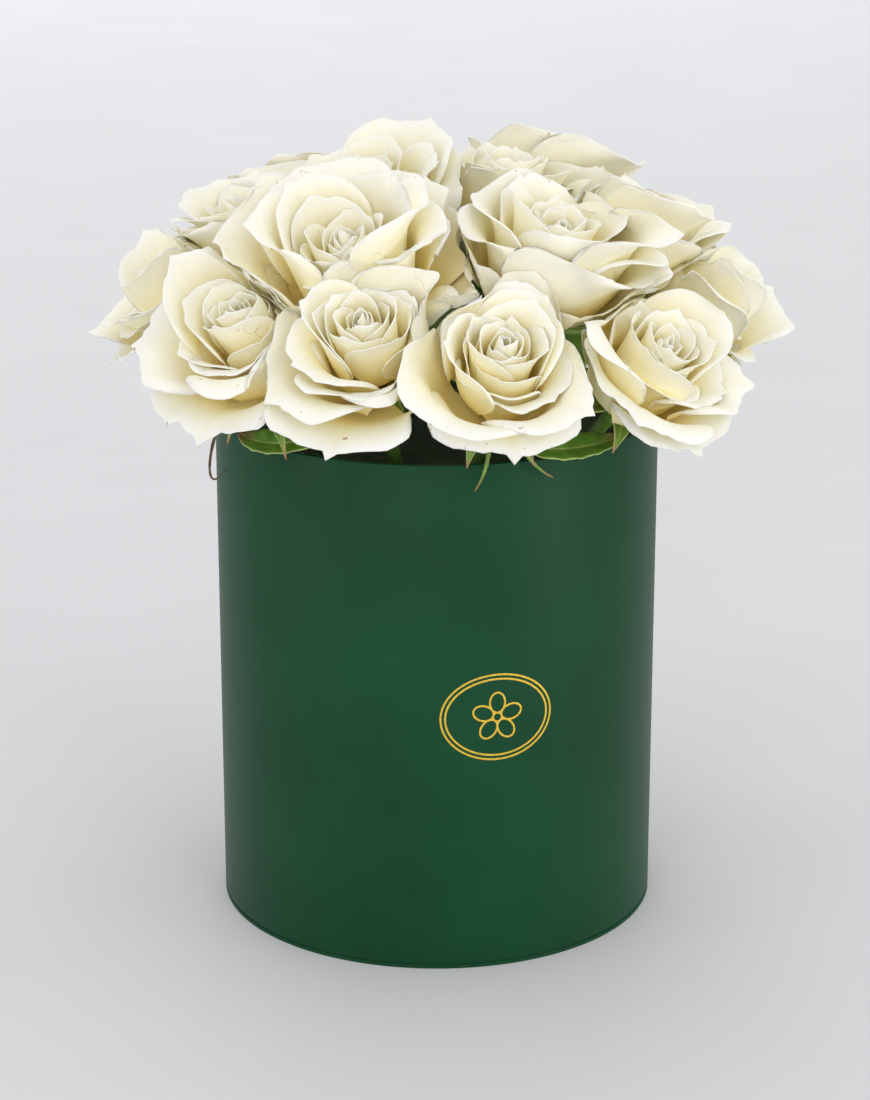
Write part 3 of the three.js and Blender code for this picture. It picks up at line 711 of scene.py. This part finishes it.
def bloom_bud(rose):
    bud = add_primitive(bpy.ops.mesh.primitive_uv_sphere_add, "bud", segments=16, ring_count=10, radius=1)
    add_numbers(bud)
    smooth_faces(bud)
    shaped = points_of(bud) * np.array(BUD_SIZE) + np.array([0, 0, BUD_MIDDLE])
    move_points(bud, bloom_to_box(rose, shaped) * MM)
    return bud


def make_bloom(rose):
    number = rose["number"]
    petals = []
    for index in range(PETAL_COUNT + (COLLAR_PETALS if rose["ring"] > 0 else 0)):
        blank, across, along = inner_blank if index < INNER_PETALS else outer_blank
        points = bloom_to_box(rose, petal_points(rose, index, across, along))
        gap = max(CELL_GAP + CELL_LAYER * (PETAL_COUNT - 1 - index) / WHORL, LEAST_GAP)
        points = press_into(rose["planes"], points, gap)
        petals.append(copy_of(blank, points, index / (PETAL_COUNT - 1), (swing(number, index, 8) + 1) / 2))
    bloom = thicken(join_pieces(f"rose_{number:02d}_petals", petals), PETAL_THICKNESS)
    bloom = join_pieces(bloom.name, [bloom, bloom_bud(rose)])
    return finish_piece(bloom, petal_skin, [f"rose_{number:02d}_bloom"])


blooms = [make_bloom(rose) for rose in roses]
for blank in (inner_blank, outer_blank):
    bpy.data.objects.remove(blank[0])
print("faces in a bloom:", len(blooms[0].data.polygons))

# %% [markdown]
# The green parts. Sepals and leaves share one kind of material: fresh green with a pale margin, a rib
# that is lighter than the blade, and a tip that dries to reddish brown.

# %% Green materials


def green_skin(name, blade, margin_colour, tip_colour, roughness):
    """Waxy green plant skin: colour by the UV map, which runs across and along each sepal or leaf."""
    material, tree, shader, place = new_material(name)
    uv = add_node(tree, "ShaderNodeUVMap", uv_map="UVMap")
    parts = add_node(tree, "ShaderNodeSeparateXYZ", {0: uv})
    from_rib = add_node(tree, "ShaderNodeMath", {0: parts.outputs["X"], 1: 0.5}, operation="SUBTRACT")
    reach = add_node(tree, "ShaderNodeMath", {0: from_rib}, operation="ABSOLUTE")
    across = add_node(tree, "ShaderNodeValToRGB", {0: reach})
    set_stops(across, [(0.0, margin_colour), (0.05, blade), (0.44, blade), (0.5, margin_colour)])
    tip = add_node(tree, "ShaderNodeMapRange", {"Value": parts.outputs["Y"], "From Min": 0.8,
                                                "From Max": 1.0})
    tipped = add_node(tree, "ShaderNodeMix", {0: tip, 6: across, 7: linear(tip_colour)}, data_type="RGBA")
    mottle = add_node(tree, "ShaderNodeTexNoise", {"Vector": place, "Scale": 160.0, "Detail": 4.0})
    shade = add_node(tree, "ShaderNodeMapRange", {"Value": mottle, "From Min": 0.3, "From Max": 0.7,
                                                  "To Min": 0.75, "To Max": 1.2})
    mottled = add_node(tree, "ShaderNodeMix", {0: 1.0, 6: tipped.outputs[2], 7: shade},
                       data_type="RGBA", blend_type="MULTIPLY")
    bump = add_node(tree, "ShaderNodeBump", {"Height": mottle, "Strength": 0.5, "Distance": 0.0003})
    set_inputs(shader, {"Base Color": mottled.outputs[2], "Normal": bump, "Roughness": roughness, "IOR": 1.45,
                        "Subsurface Weight": 0.12, "Subsurface Radius": (0.4, 1.0, 0.2),
                        "Subsurface Scale": 0.001})
    return material


sepal_skin = green_skin("sepal_fresh_green", "#6E8F35", "#B9C27A", "#A06A50", 0.5)
leaf_skin = green_skin("rose_leaf_green", "#5E8A2E", "#A9BC72", "#7A4436", 0.4)
dry_skin = green_skin("dried_sepal_brown", "#5E5038", "#6E5E42", "#4E3C2C", 0.7)
stem_skin = green_skin("stem_green", "#5C7F36", "#6B8A3E", "#5C7F36", 0.45)
print("greens ready")

# %% [markdown]
# A sepal is a narrow leaf under the bloom. It bends down over the stem, is cupped along its rib, and runs
# out into a thread. On two of the five, small side lobes stand out, as on real roses. The sepals of the
# front roses are shorter, because only their tips show at the rim.

# %% Sepals
SEPAL_COUNT = 5
SEPAL_LENGTH = 34.0
FRONT_SEPALS = {1: 0.72, 2: 0.76, 3: 0.72, 4: 0.8}
SEPAL_HALF_WIDTH = 4.6
SEPAL_THICKNESS = 0.7
SEPAL_ROOT_HEADING = math.radians(84)
SEPAL_TIP_HEADING = math.radians(136)
SEPAL_ROOT_UP = -1.5
SEPAL_STEPS = 40
SEPAL_WIDTHS = [(0, 0.5), (0.15, 0.85), (0.36, 1.0), (0.55, 0.72), (0.75, 0.34), (0.9, 0.14), (1, 0.05)]
LOBED_SEPALS = (0, 2)
HIP_RADIUS = 5.8

sepal_blank, sepal_across, sepal_along = grid_blank("sepal_blank", 8, 24)


def sepal_points(number, k):
    """The points of a rose's sepal in the rose's own frame."""
    across, along = sepal_across, sepal_along
    length = SEPAL_LENGTH * FRONT_SEPALS.get(number, 1.0) * (1 + 0.15 * swing(number, k, 12))
    droop = math.radians(12) * swing(number, k, 13)
    steps = np.linspace(0, 1, SEPAL_STEPS + 1)
    headings = mix(SEPAL_ROOT_HEADING, SEPAL_TIP_HEADING + droop, steps)
    step = length / SEPAL_STEPS
    outs = walk(HIP_RADIUS - 2, np.sin(headings[1:]) * step)
    ups = walk(SEPAL_ROOT_UP, np.cos(headings[1:]) * step)
    heading = np.interp(along, steps, headings)
    half = SEPAL_HALF_WIDTH * np.interp(along, *zip(*SEPAL_WIDTHS))
    if k in LOBED_SEPALS:
        lobes = np.maximum(np.sin(along * 38), 0) * smooth(along, 0.2, 0.4) * (1 - smooth(along, 0.7, 0.9))
        half = half * (1 + 0.25 * lobes)
    cup = 0.25 * half * across ** 2 + 0.4 * np.sin(along * 9 + number) * along
    out = np.interp(along, steps, outs) - np.cos(heading) * cup
    up = np.interp(along, steps, ups) + np.sin(heading) * cup
    bearing = (k + 0.5) * 2 * math.pi / SEPAL_COUNT + 0.3 * swing(number, k, 11) * along
    offset = across * half
    return np.column_stack([out * np.cos(bearing) - offset * np.sin(bearing),
                            out * np.sin(bearing) + offset * np.cos(bearing), up])


def make_sepals(rose):
    number = rose["number"]
    sepals = []
    for k in range(SEPAL_COUNT):
        points = press_into(rose["planes"], to_box(rose, sepal_points(number, k)), CELL_GAP)
        sepals.append(copy_of(sepal_blank, points, 1.0, (swing(number, k, 14) + 1) / 2))
    return thicken(join_pieces("sepals", sepals), SEPAL_THICKNESS, sepal_skin)


print("points in a sepal:", len(sepal_along))

# %% [markdown]
# Three sepals run out over the rim as long threads: one has dried brown and curls at the left, and two
# fresh ones hang over the front. Each follows a Bezier curve from its hip and narrows to its tip.

# %% Long sepals over the rim
# Each has its rose, half its width, its skin and the controls of its curve after the hip.
LONG_SEPALS = [
    (10, 1.3, dry_skin, [(-86, -46, 246), (-97, -38, 250), (-97, -38, 226), (-106, -34, 208),
                         (-101, -36, 200), (-93, -42, 214)]),
    (2, 1.5, sepal_skin, [(30, -88, 246), (36, -99, 238), (40, -99, 231), (49, -93, 225)]),
    (2, 1.7, sepal_skin, [(22, -92, 248), (23, -104, 238), (21, -103, 230), (16, -103, 222)]),
]


def bezier(controls, t):
    """Points of the Bezier curve of some controls at the parameters t."""
    points = [np.outer(np.ones(len(t)), control) for control in controls]
    while len(points) > 1:
        points = [a * (1 - t[:, None]) + b * t[:, None] for a, b in zip(points, points[1:])]
    return points[0]


def make_long_sepal(rose, half_width, skin, controls):
    controls = [tuple(rose["root"] - rose["axis"] * 2)] + controls
    middle = bezier(controls, sepal_along)
    ahead = bezier(controls, np.minimum(sepal_along + 0.02, 1.02)) - middle
    side = unit_rows(np.cross(ahead, [0, 1, 0]))
    half = half_width * (1 - 0.85 * sepal_along) * (1 + 0.15 * np.sin(sepal_along * 60))
    sepal = copy_of(sepal_blank, middle + side * (sepal_across * half)[:, None])
    return thicken(sepal, SEPAL_THICKNESS, skin)


print("long sepals:", len(LONG_SEPALS))

# %% [markdown]
# A rose leaf is folded along its rib, toothed at the edge and quilted between its side veins, and leaves
# the stem on a short stalk. Most outer roses have one that lies out over the rim. Two lie along the rim in
# front, and wide ones stand on edge between the inner stems, where leaves fill the dark core of a bouquet.

# %% Leaves
LEAF_ROOT_DEPTH = 17.0
LEAF_TIP_RADIUS = 103.0
LEAF_TIP_RISE = 5.0
LEAF_ARCH = 5.0
LEAF_HALF_WIDTH = 9.0
INNER_LEAF_HALF_WIDTH = 17.0
LEAF_STALK = 0.2
LEAF_FOLD = 0.25
LEAF_TEETH = 13
LEAF_VEINS = 7
LEAF_THICKNESS = 0.4
# For each rose with a leaf out over the rim, the bearing of its tip.
LEAVES = {3: 62, 5: 117, 6: 168, 8: 226, 9: 283, 10: 300}
# For each leaf along the rim, a control point, its tip, and the way its upper side looks.
RIM_LEAVES = {1: ((-66, -86, 230), (-86, -56, 234), (-0.2, -0.45, 0.87)),
              2: ((46, -100, 232), (82, -62, 235), (0.15, -0.45, 0.88))}
# For each leaf on edge among the stems, its tip's distance from the box's axis, bearing and height.
INNER_LEAVES = {11: (62, 34, 271), 12: (72, 82, 267), 13: (62, 136, 268), 14: (62, 198, 268),
                15: (60, 258, 268), 16: (62, 318, 266), 17: (30, -30, 276), 18: (32, 60, 276)}

leaf_blank, leaf_across, leaf_along = grid_blank("leaf_blank", 12, 52)


def leaf_points(rose, crest, end, half_width, face):
    """Points of a leaf from a rose's stem over a crest to its tip; face is the way its upper side looks."""
    across, along = leaf_across, leaf_along
    start = rose["root"] - rose["axis"] * LEAF_ROOT_DEPTH
    if crest is None:
        crest = (start + end) / 2 + np.array([0, 0, LEAF_ARCH])
    t = along[:, None]
    middle = start * (1 - t) ** 2 + crest * 2 * t * (1 - t) + end * t ** 2
    ahead = unit_rows((crest - start) * 2 * (1 - t) + (end - crest) * 2 * t)
    side = unit_rows(np.cross(ahead, face))
    share = np.clip((along - LEAF_STALK) / (1 - LEAF_STALK), 0, 1)
    blade = share > 0
    tooth = (share * LEAF_TEETH) % 1
    full = half_width * np.sin(np.pi * share ** 0.8) ** 0.8 * (1 - 0.06 * (1 - tooth))
    half = np.maximum(full, mix(1.0, 0.25, smooth(along, 0.5, 1)))
    reach = np.abs(across) * half
    vein = 0.35 * np.sin((share * LEAF_VEINS - np.abs(across) * 0.9) * 2 * np.pi) * np.abs(across) * blade
    points = middle + side * (across * half)[:, None] + ahead * (0.3 * reach * blade)[:, None]
    return points + (LEAF_FOLD * reach + vein)[:, None] * face


def make_leaf(rose, end, half_width=LEAF_HALF_WIDTH, face=(0, 0, 1), crest=None):
    points = leaf_points(rose, crest, np.array(end), half_width, np.array(face))
    return thicken(copy_of(leaf_blank, points), LEAF_THICKNESS, leaf_skin)


def make_leaves(rose):
    number = rose["number"]
    leaves = []
    if number in LEAVES:
        tip = on_bearing(LEAF_TIP_RADIUS, LEAVES[number], BOX_HEIGHT + LEAF_TIP_RISE)
        leaves.append(make_leaf(rose, tip))
    if number in RIM_LEAVES:
        crest, tip, face = RIM_LEAVES[number]
        leaves.append(make_leaf(rose, tip, LEAF_HALF_WIDTH, face, np.array(crest)))
    if number in INNER_LEAVES:
        radius, bearing, height = INNER_LEAVES[number]
        outward = on_bearing(1, (bearing + rose["bearing"]) / 2, 0)
        leaves.append(make_leaf(rose, on_bearing(radius, bearing, height), INNER_LEAF_HALF_WIDTH, outward))
    return leaves


print("leaves:", len(LEAVES) + len(RIM_LEAVES) + len(INNER_LEAVES))

# %% [markdown]
# A stem is a cylinder that swells into the hip under the bloom. The cylinder primitive is cut into rings
# in edit mode, and each ring takes its radius from a profile.

# %% Stems
STEM_RADIUS = 2.8
STEM_BELOW_FOAM_TOP = 46.0
STEM_SIDES = 14
STEM_RINGS = 40
STEM_KNOBS = 0.03
SEAT_GAP = 0.3
HIP_HEIGHT = 11.0
HIP_TOP_RADIUS = 5.0


def cut_into_rings(obj, cuts):
    """Cuts the upright edges of a cylinder primitive that is 2 high; leaves edit mode again."""
    bpy.ops.object.mode_set(mode="EDIT")
    mesh = bmesh.from_edit_mesh(obj.data)
    upright = [edge for edge in mesh.edges if abs(edge.verts[0].co.z - edge.verts[1].co.z) > 1]
    bmesh.ops.subdivide_edges(mesh, edges=upright, cuts=cuts)
    bmesh.update_edit_mesh(obj.data)
    bpy.ops.object.mode_set(mode="OBJECT")


def make_stem(rose):
    length = (rose["root"][2] - (FOAM_TOP - STEM_BELOW_FOAM_TOP)) / rose["axis"][2]
    hip = [(0, HIP_TOP_RADIUS), (SEAT_GAP, HIP_TOP_RADIUS), (3, HIP_RADIUS), (6, HIP_RADIUS * 0.97),
           (HIP_HEIGHT, 3.6), (HIP_HEIGHT + 3, STEM_RADIUS), (length, STEM_RADIUS)]
    stem = add_primitive(bpy.ops.mesh.primitive_cylinder_add, "stem", vertices=STEM_SIDES, radius=1, depth=2)
    cut_into_rings(stem, STEM_RINGS)
    points = points_of(stem)
    depth = SEAT_GAP + ((1 - points[:, 2]) / 2) ** 1.8 * (length - SEAT_GAP)
    thinner = np.minimum(1 + STEM_KNOBS * np.sin(depth * 0.9 + rose["number"]), 1)
    radius = np.interp(depth, *zip(*hip)) * thinner
    ring = points[:, :2] / np.maximum(np.linalg.norm(points[:, :2], axis=1), 1e-6)[:, None]
    move_points(stem, to_box(rose, np.column_stack([ring * radius[:, None], -depth])) * MM)
    stem.data.materials.append(stem_skin)
    add_numbers(stem)
    smooth_faces(stem, only_quads=True)
    return stem


def make_greens(rose):
    number = rose["number"]
    pieces = [make_stem(rose), make_sepals(rose)]
    for owner, half_width, skin, controls in LONG_SEPALS:
        if owner == number:
            pieces.append(make_long_sepal(rose, half_width, skin, controls))
    greens = join_pieces(f"rose_{number:02d}_greens", pieces + make_leaves(rose))
    return finish_piece(greens, None, [f"rose_{number:02d}_stem"])


greens = [make_greens(rose) for rose in roses]
bpy.data.objects.remove(sepal_blank)
bpy.data.objects.remove(leaf_blank)
print("green pieces:", len(greens))

# %% [markdown]
# The box is greyboard wrapped in soft-touch paper: matte, with a broad soft sheen and a very fine tooth.
# Its wall is a cylinder primitive with its thickness from a modifier, and the wrapped rim is rounded.

# %% Wrapped paper
BOX_SEGMENTS = 192
WALL = 2.2
BASE_THICKNESS = 2.2
GROOVE_DEPTH = 0.7
GROOVE_HEIGHT = 0.6
RIM_ROUNDING = 0.45
BASE_ROUNDING = 0.2

box_paper, tree, shader, place = new_material("soft_touch_paper_dark_green")
cloud = add_node(tree, "ShaderNodeTexNoise", {"Vector": place, "Scale": 14.0, "Detail": 4.0})
paper_colour = add_node(tree, "ShaderNodeValToRGB", {0: cloud})
set_stops(paper_colour, [(0.3, "#093B22"), (0.7, "#0D452A")])
paper_rough = add_node(tree, "ShaderNodeMapRange", {"Value": cloud, "From Min": 0.3, "From Max": 0.7,
                                                    "To Min": 0.42, "To Max": 0.48})
# Paper tooth of about half a millimetre, drawn coarser than the real fibre so that it shows.
tooth = add_node(tree, "ShaderNodeTexNoise", {"Vector": place, "Scale": 1800.0, "Detail": 3.0})
bump = add_node(tree, "ShaderNodeBump", {"Height": tooth, "Strength": 0.12, "Distance": 0.0001})
set_inputs(shader, {"Base Color": paper_colour, "Roughness": paper_rough, "Normal": bump, "IOR": 1.45,
                    "Specular IOR Level": 0.2})
print("material", box_paper.name)

# %% Box wall


def round_edges(obj, width, segments=3):
    """Rounds the sharp edges of a piece, and shades it smooth between its sharp edges."""
    bevel = obj.modifiers.new("rounding", "BEVEL")
    bevel.width = width * MM
    bevel.segments = segments
    bevel.limit_method = "ANGLE"
    bevel.angle_limit = math.radians(40)
    apply_modifiers(obj)
    select_only(obj)
    bpy.ops.object.shade_smooth_by_angle(angle=math.radians(30))


wall = add_primitive(bpy.ops.mesh.primitive_cylinder_add, "box_wall_wrapped", end_fill_type="NOTHING",
                     vertices=BOX_SEGMENTS, radius=BOX_RADIUS * MM, depth=(BOX_HEIGHT - BASE_THICKNESS) * MM,
                     location=(0, 0, (BOX_HEIGHT + BASE_THICKNESS) / 2 * MM))
thicken(wall, WALL, offset=-1)
round_edges(wall, RIM_ROUNDING)
finish_piece(wall, box_paper, ["box_wall"])
print("faces in the wall:", len(wall.data.polygons))

# %% [markdown]
# A small ornament in gold foil stands on the front: two ovals round a rosette of five petals. Foil is
# stamped into the paper by a hot die, so it's thin and flat. Each line is a torus primitive, flattened to
# foil and bent round the wall.

# %% Foil ornament
FOIL_MIDDLE = (26.5, 118.0)
FOIL_LINE = 0.42
FOIL_RADIUS = BOX_RADIUS + 0.01
FOIL_THICKNESS = 0.04
TORUS_MINOR = 0.1
OVALS = [(25.0, 19.5), (23.0, 17.5), (2.0, 2.0)]
ROSETTE_RADIUS = 6.6
ROSETTE_PETAL = (4.6, 3.4)

gold_foil, tree, shader, place = new_material("gold_hot_stamped_foil")
rub = add_node(tree, "ShaderNodeTexNoise", {"Vector": place, "Scale": 900.0, "Detail": 2.0})
foil_colour = add_node(tree, "ShaderNodeValToRGB", {0: rub})
set_stops(foil_colour, [(0.35, "#D9AE2C"), (0.65, "#EBCB4E")])
set_inputs(shader, {"Base Color": foil_colour, "Metallic": 0.6, "Roughness": 0.42})


def foil_oval(centre, half_sizes, turn=0.0):
    """One closed foil line: an oval round a centre on the unrolled wall, turned in its plane."""
    ring = add_primitive(bpy.ops.mesh.primitive_torus_add, "foil_line", major_segments=72, minor_segments=8,
                         major_radius=1, minor_radius=TORUS_MINOR)
    points = points_of(ring)
    angle = np.arctan2(points[:, 1], points[:, 0])
    beyond = (np.linalg.norm(points[:, :2], axis=1) - 1) / TORUS_MINOR * FOIL_LINE
    u = (half_sizes[0] + beyond) * np.cos(angle)
    v = (half_sizes[1] + beyond) * np.sin(angle)
    along = FOIL_MIDDLE[0] + centre[0] + u * math.cos(turn) - v * math.sin(turn)
    level = FOIL_MIDDLE[1] + centre[1] + u * math.sin(turn) + v * math.cos(turn)
    radius = FOIL_RADIUS + points[:, 2] / TORUS_MINOR * FOIL_THICKNESS
    around = along / BOX_RADIUS
    move_points(ring, np.column_stack([radius * np.sin(around), -radius * np.cos(around), level]) * MM)
    return ring


foil_lines = [foil_oval((0, 0), half_sizes) for half_sizes in OVALS]
for k in range(5):
    turn = math.radians(90 + 72 * k)
    centre = (ROSETTE_RADIUS * math.cos(turn), ROSETTE_RADIUS * math.sin(turn))
    foil_lines.append(foil_oval(centre, ROSETTE_PETAL, turn))
ornament = join_pieces("foil_ornament", foil_lines)
finish_piece(ornament, gold_foil)
print("foil lines:", len(foil_lines))

# %% [markdown]
# The base is a disc with a fine groove above it, where the wall stands on it: the disc's top face is
# inset, and the inner part is raised.

# %% Box base
base = add_primitive(bpy.ops.mesh.primitive_cylinder_add, "box_base_wrapped", vertices=BOX_SEGMENTS,
                     radius=BOX_RADIUS * MM, depth=(BASE_THICKNESS - GROOVE_HEIGHT) * MM,
                     location=(0, 0, (BASE_THICKNESS - GROOVE_HEIGHT) / 2 * MM))
bpy.ops.object.transform_apply(location=True)
bpy.ops.object.mode_set(mode="EDIT")
mesh = bmesh.from_edit_mesh(base.data)
for face in mesh.faces:
    face.select_set(face.normal.z > 0.5)
bmesh.update_edit_mesh(base.data)
bpy.ops.mesh.inset(thickness=GROOVE_DEPTH * MM)
bpy.ops.mesh.extrude_region_move(TRANSFORM_OT_translate={"value": (0, 0, GROOVE_HEIGHT * MM)})
bpy.ops.object.mode_set(mode="OBJECT")
round_edges(base, BASE_ROUNDING, 2)
finish_piece(base, box_paper, ["box_base"])
print("faces in the base:", len(base.data.polygons))

# %% [markdown]
# The liner is thin black film pushed into the box. It lies in soft upright creases, and its cut edge
# wanders up and down. A cylinder cut into rings takes both shapes, and its gloss catches the light.

# %% Liner
LINER_RADIUS = BOX_RADIUS - WALL - 0.3
LINER_TOP = BOX_HEIGHT - 5.0
LINER_FLOOR = BASE_THICKNESS
LINER_SEGMENTS = 240
LINER_RINGS = 18
LINER_CLEARANCE = 0.1
CREASE_DEPTH = 0.45
EDGE_WANDER = (1.6, 0.7)
FILM_THICKNESS = 0.15

liner_film, tree, shader, place = new_material("black_polythene_film")
wrinkle = add_node(tree, "ShaderNodeTexNoise", {"Vector": place, "Scale": 60.0, "Detail": 5.0,
                                                "Distortion": 1.5})
bump = add_node(tree, "ShaderNodeBump", {"Height": wrinkle, "Strength": 0.6, "Distance": 0.002})
film_colour = add_node(tree, "ShaderNodeValToRGB", {0: wrinkle})
set_stops(film_colour, [(0.3, "#0B0C0B"), (0.7, "#151715")])
set_inputs(shader, {"Base Color": film_colour, "Normal": bump, "Roughness": 0.18, "IOR": 1.5})

liner = add_primitive(bpy.ops.mesh.primitive_cylinder_add, "liner_film", vertices=LINER_SEGMENTS, radius=1,
                      depth=2, end_fill_type="NOTHING")
cut_into_rings(liner, LINER_RINGS)
bpy.ops.object.mode_set(mode="EDIT")
mesh = bmesh.from_edit_mesh(liner.data)
lowest = [vertex for vertex in mesh.verts if vertex.co.z < -0.99]
bmesh.ops.contextual_create(mesh, geom=lowest)
bmesh.update_edit_mesh(liner.data)
bpy.ops.object.mode_set(mode="OBJECT")
points = points_of(liner)
turn = np.arctan2(points[:, 1], points[:, 0])
height = (points[:, 2] + 1) / 2
creases = (np.sin(turn * 23 + 3 * np.sin(turn * 5)) + 0.6 * np.sin(turn * 41 + 4 * height)) / 1.6
radius = LINER_RADIUS - LINER_CLEARANCE - CREASE_DEPTH * (0.5 + 0.5 * creases)
edge = EDGE_WANDER[0] * np.sin(turn * 7) * np.sin(turn * 3 + 1) + EDGE_WANDER[1] * np.sin(turn * 29)
full_height = LINER_TOP - sum(EDGE_WANDER) - LINER_FLOOR
level = LINER_FLOOR + LINER_CLEARANCE + height * (full_height + edge * height)
move_points(liner, np.column_stack([np.cos(turn) * radius, np.sin(turn) * radius, level]) * MM)
thicken(liner, FILM_THICKNESS, offset=-1)
smooth_faces(liner, only_quads=True)
finish_piece(liner, liner_film, ["liner"])
print("faces in the liner:", len(liner.data.polygons))

# %% [markdown]
# Floral foam is open-cell phenolic foam, soaked and dark. Its solid is right as it is, with a hole for each
# stem, so it stays and only takes a material with pores of about a millimetre.

# %% Foam
foam_skin, tree, shader, place = new_material("soaked_floral_foam")
pores = add_node(tree, "ShaderNodeTexVoronoi", {"Vector": place, "Scale": 700.0})
damp = add_node(tree, "ShaderNodeTexNoise", {"Vector": place, "Scale": 40.0, "Detail": 4.0})
foam_colour = add_node(tree, "ShaderNodeValToRGB", {0: damp})
set_stops(foam_colour, [(0.3, "#1C2F1D"), (0.7, "#31492C")])
bump = add_node(tree, "ShaderNodeBump", {"Height": pores, "Strength": 0.9, "Distance": 0.0008})
set_inputs(shader, {"Base Color": foam_colour, "Normal": bump, "Roughness": 0.9})
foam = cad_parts["foam"]
foam.data.materials.clear()
foam.data.materials.append(foam_skin)
print("material", foam_skin.name)

# %% [markdown]
# The studio: a wide pale floor that fills the view, and a pale room that gives most of the light. Two soft
# lights beside the camera reach into the blooms, two low ones draw a sheen down the sides of the box, a
# faint one hangs overhead, and one far behind keeps the floor there as pale as in front. Light bounces many
# times between white petals before it fades, so it may bounce a dozen times.

# %% Studio
FLOOR_HALF = 14.0

floor_paint, tree, shader, place = new_material("studio_paper_pale")
grain = add_node(tree, "ShaderNodeTexNoise", {"Vector": place, "Scale": 6.0})
floor_colour = add_node(tree, "ShaderNodeValToRGB", {0: grain})
set_stops(floor_colour, [(0.3, "#D3D4D8"), (0.7, "#D6D7DB")])
set_inputs(shader, {"Base Color": floor_colour, "Roughness": 0.8, "Specular IOR Level": 0.2})

floor = add_primitive(bpy.ops.mesh.primitive_plane_add, "studio_floor", size=2 * FLOOR_HALF)
floor.data.materials.append(floor_paint)


def soft_light(name, place, target, size, power, colour="#FFFFFF"):
    """A large square light that looks at a target."""
    data = bpy.data.lights.new(name, "AREA")
    data.size = size
    data.energy = power
    data.color = linear(colour)[:3]
    light = bpy.data.objects.new(name, data)
    light.location = place
    light.rotation_euler = (Vector(target) - Vector(place)).to_track_quat("-Z", "Y").to_euler()
    bpy.context.scene.collection.objects.link(light)


ROSES = (0, 0, 0.28)
BOX = (0, 0, 0.15)
soft_light("key_right", (1.0, -1.8, 1.1), ROSES, 0.8, 5, "#FFFCEC")
soft_light("key_left", (-0.45, -2.0, 0.75), ROSES, 1.0, 7, "#FBF7FF")
soft_light("fill_right", (1.5, -0.9, 0.15), BOX, 0.6, 6)
soft_light("fill_left", (-1.5, -0.9, 0.2), BOX, 0.7, 3)
soft_light("top", (-0.2, 0.1, 1.7), ROSES, 1.0, 0.5)
soft_light("far_floor", (-1.0, 4.6, 3.2), (-1.0, 4.6, 0), 4.0, 70)

world = bpy.data.worlds.new("studio_room")
world.use_nodes = True
world.node_tree.nodes["Background"].inputs[0].default_value = linear("#F2F1F0")
world.node_tree.nodes["Background"].inputs[1].default_value = 1.02
bpy.context.scene.world = world
bpy.context.scene.view_settings.view_transform = "Standard"
bpy.context.scene.cycles.diffuse_bounces = 12

# %% [markdown]
# Last, the view layer is brought up to date.

# %% Finish
bpy.context.view_layer.update()
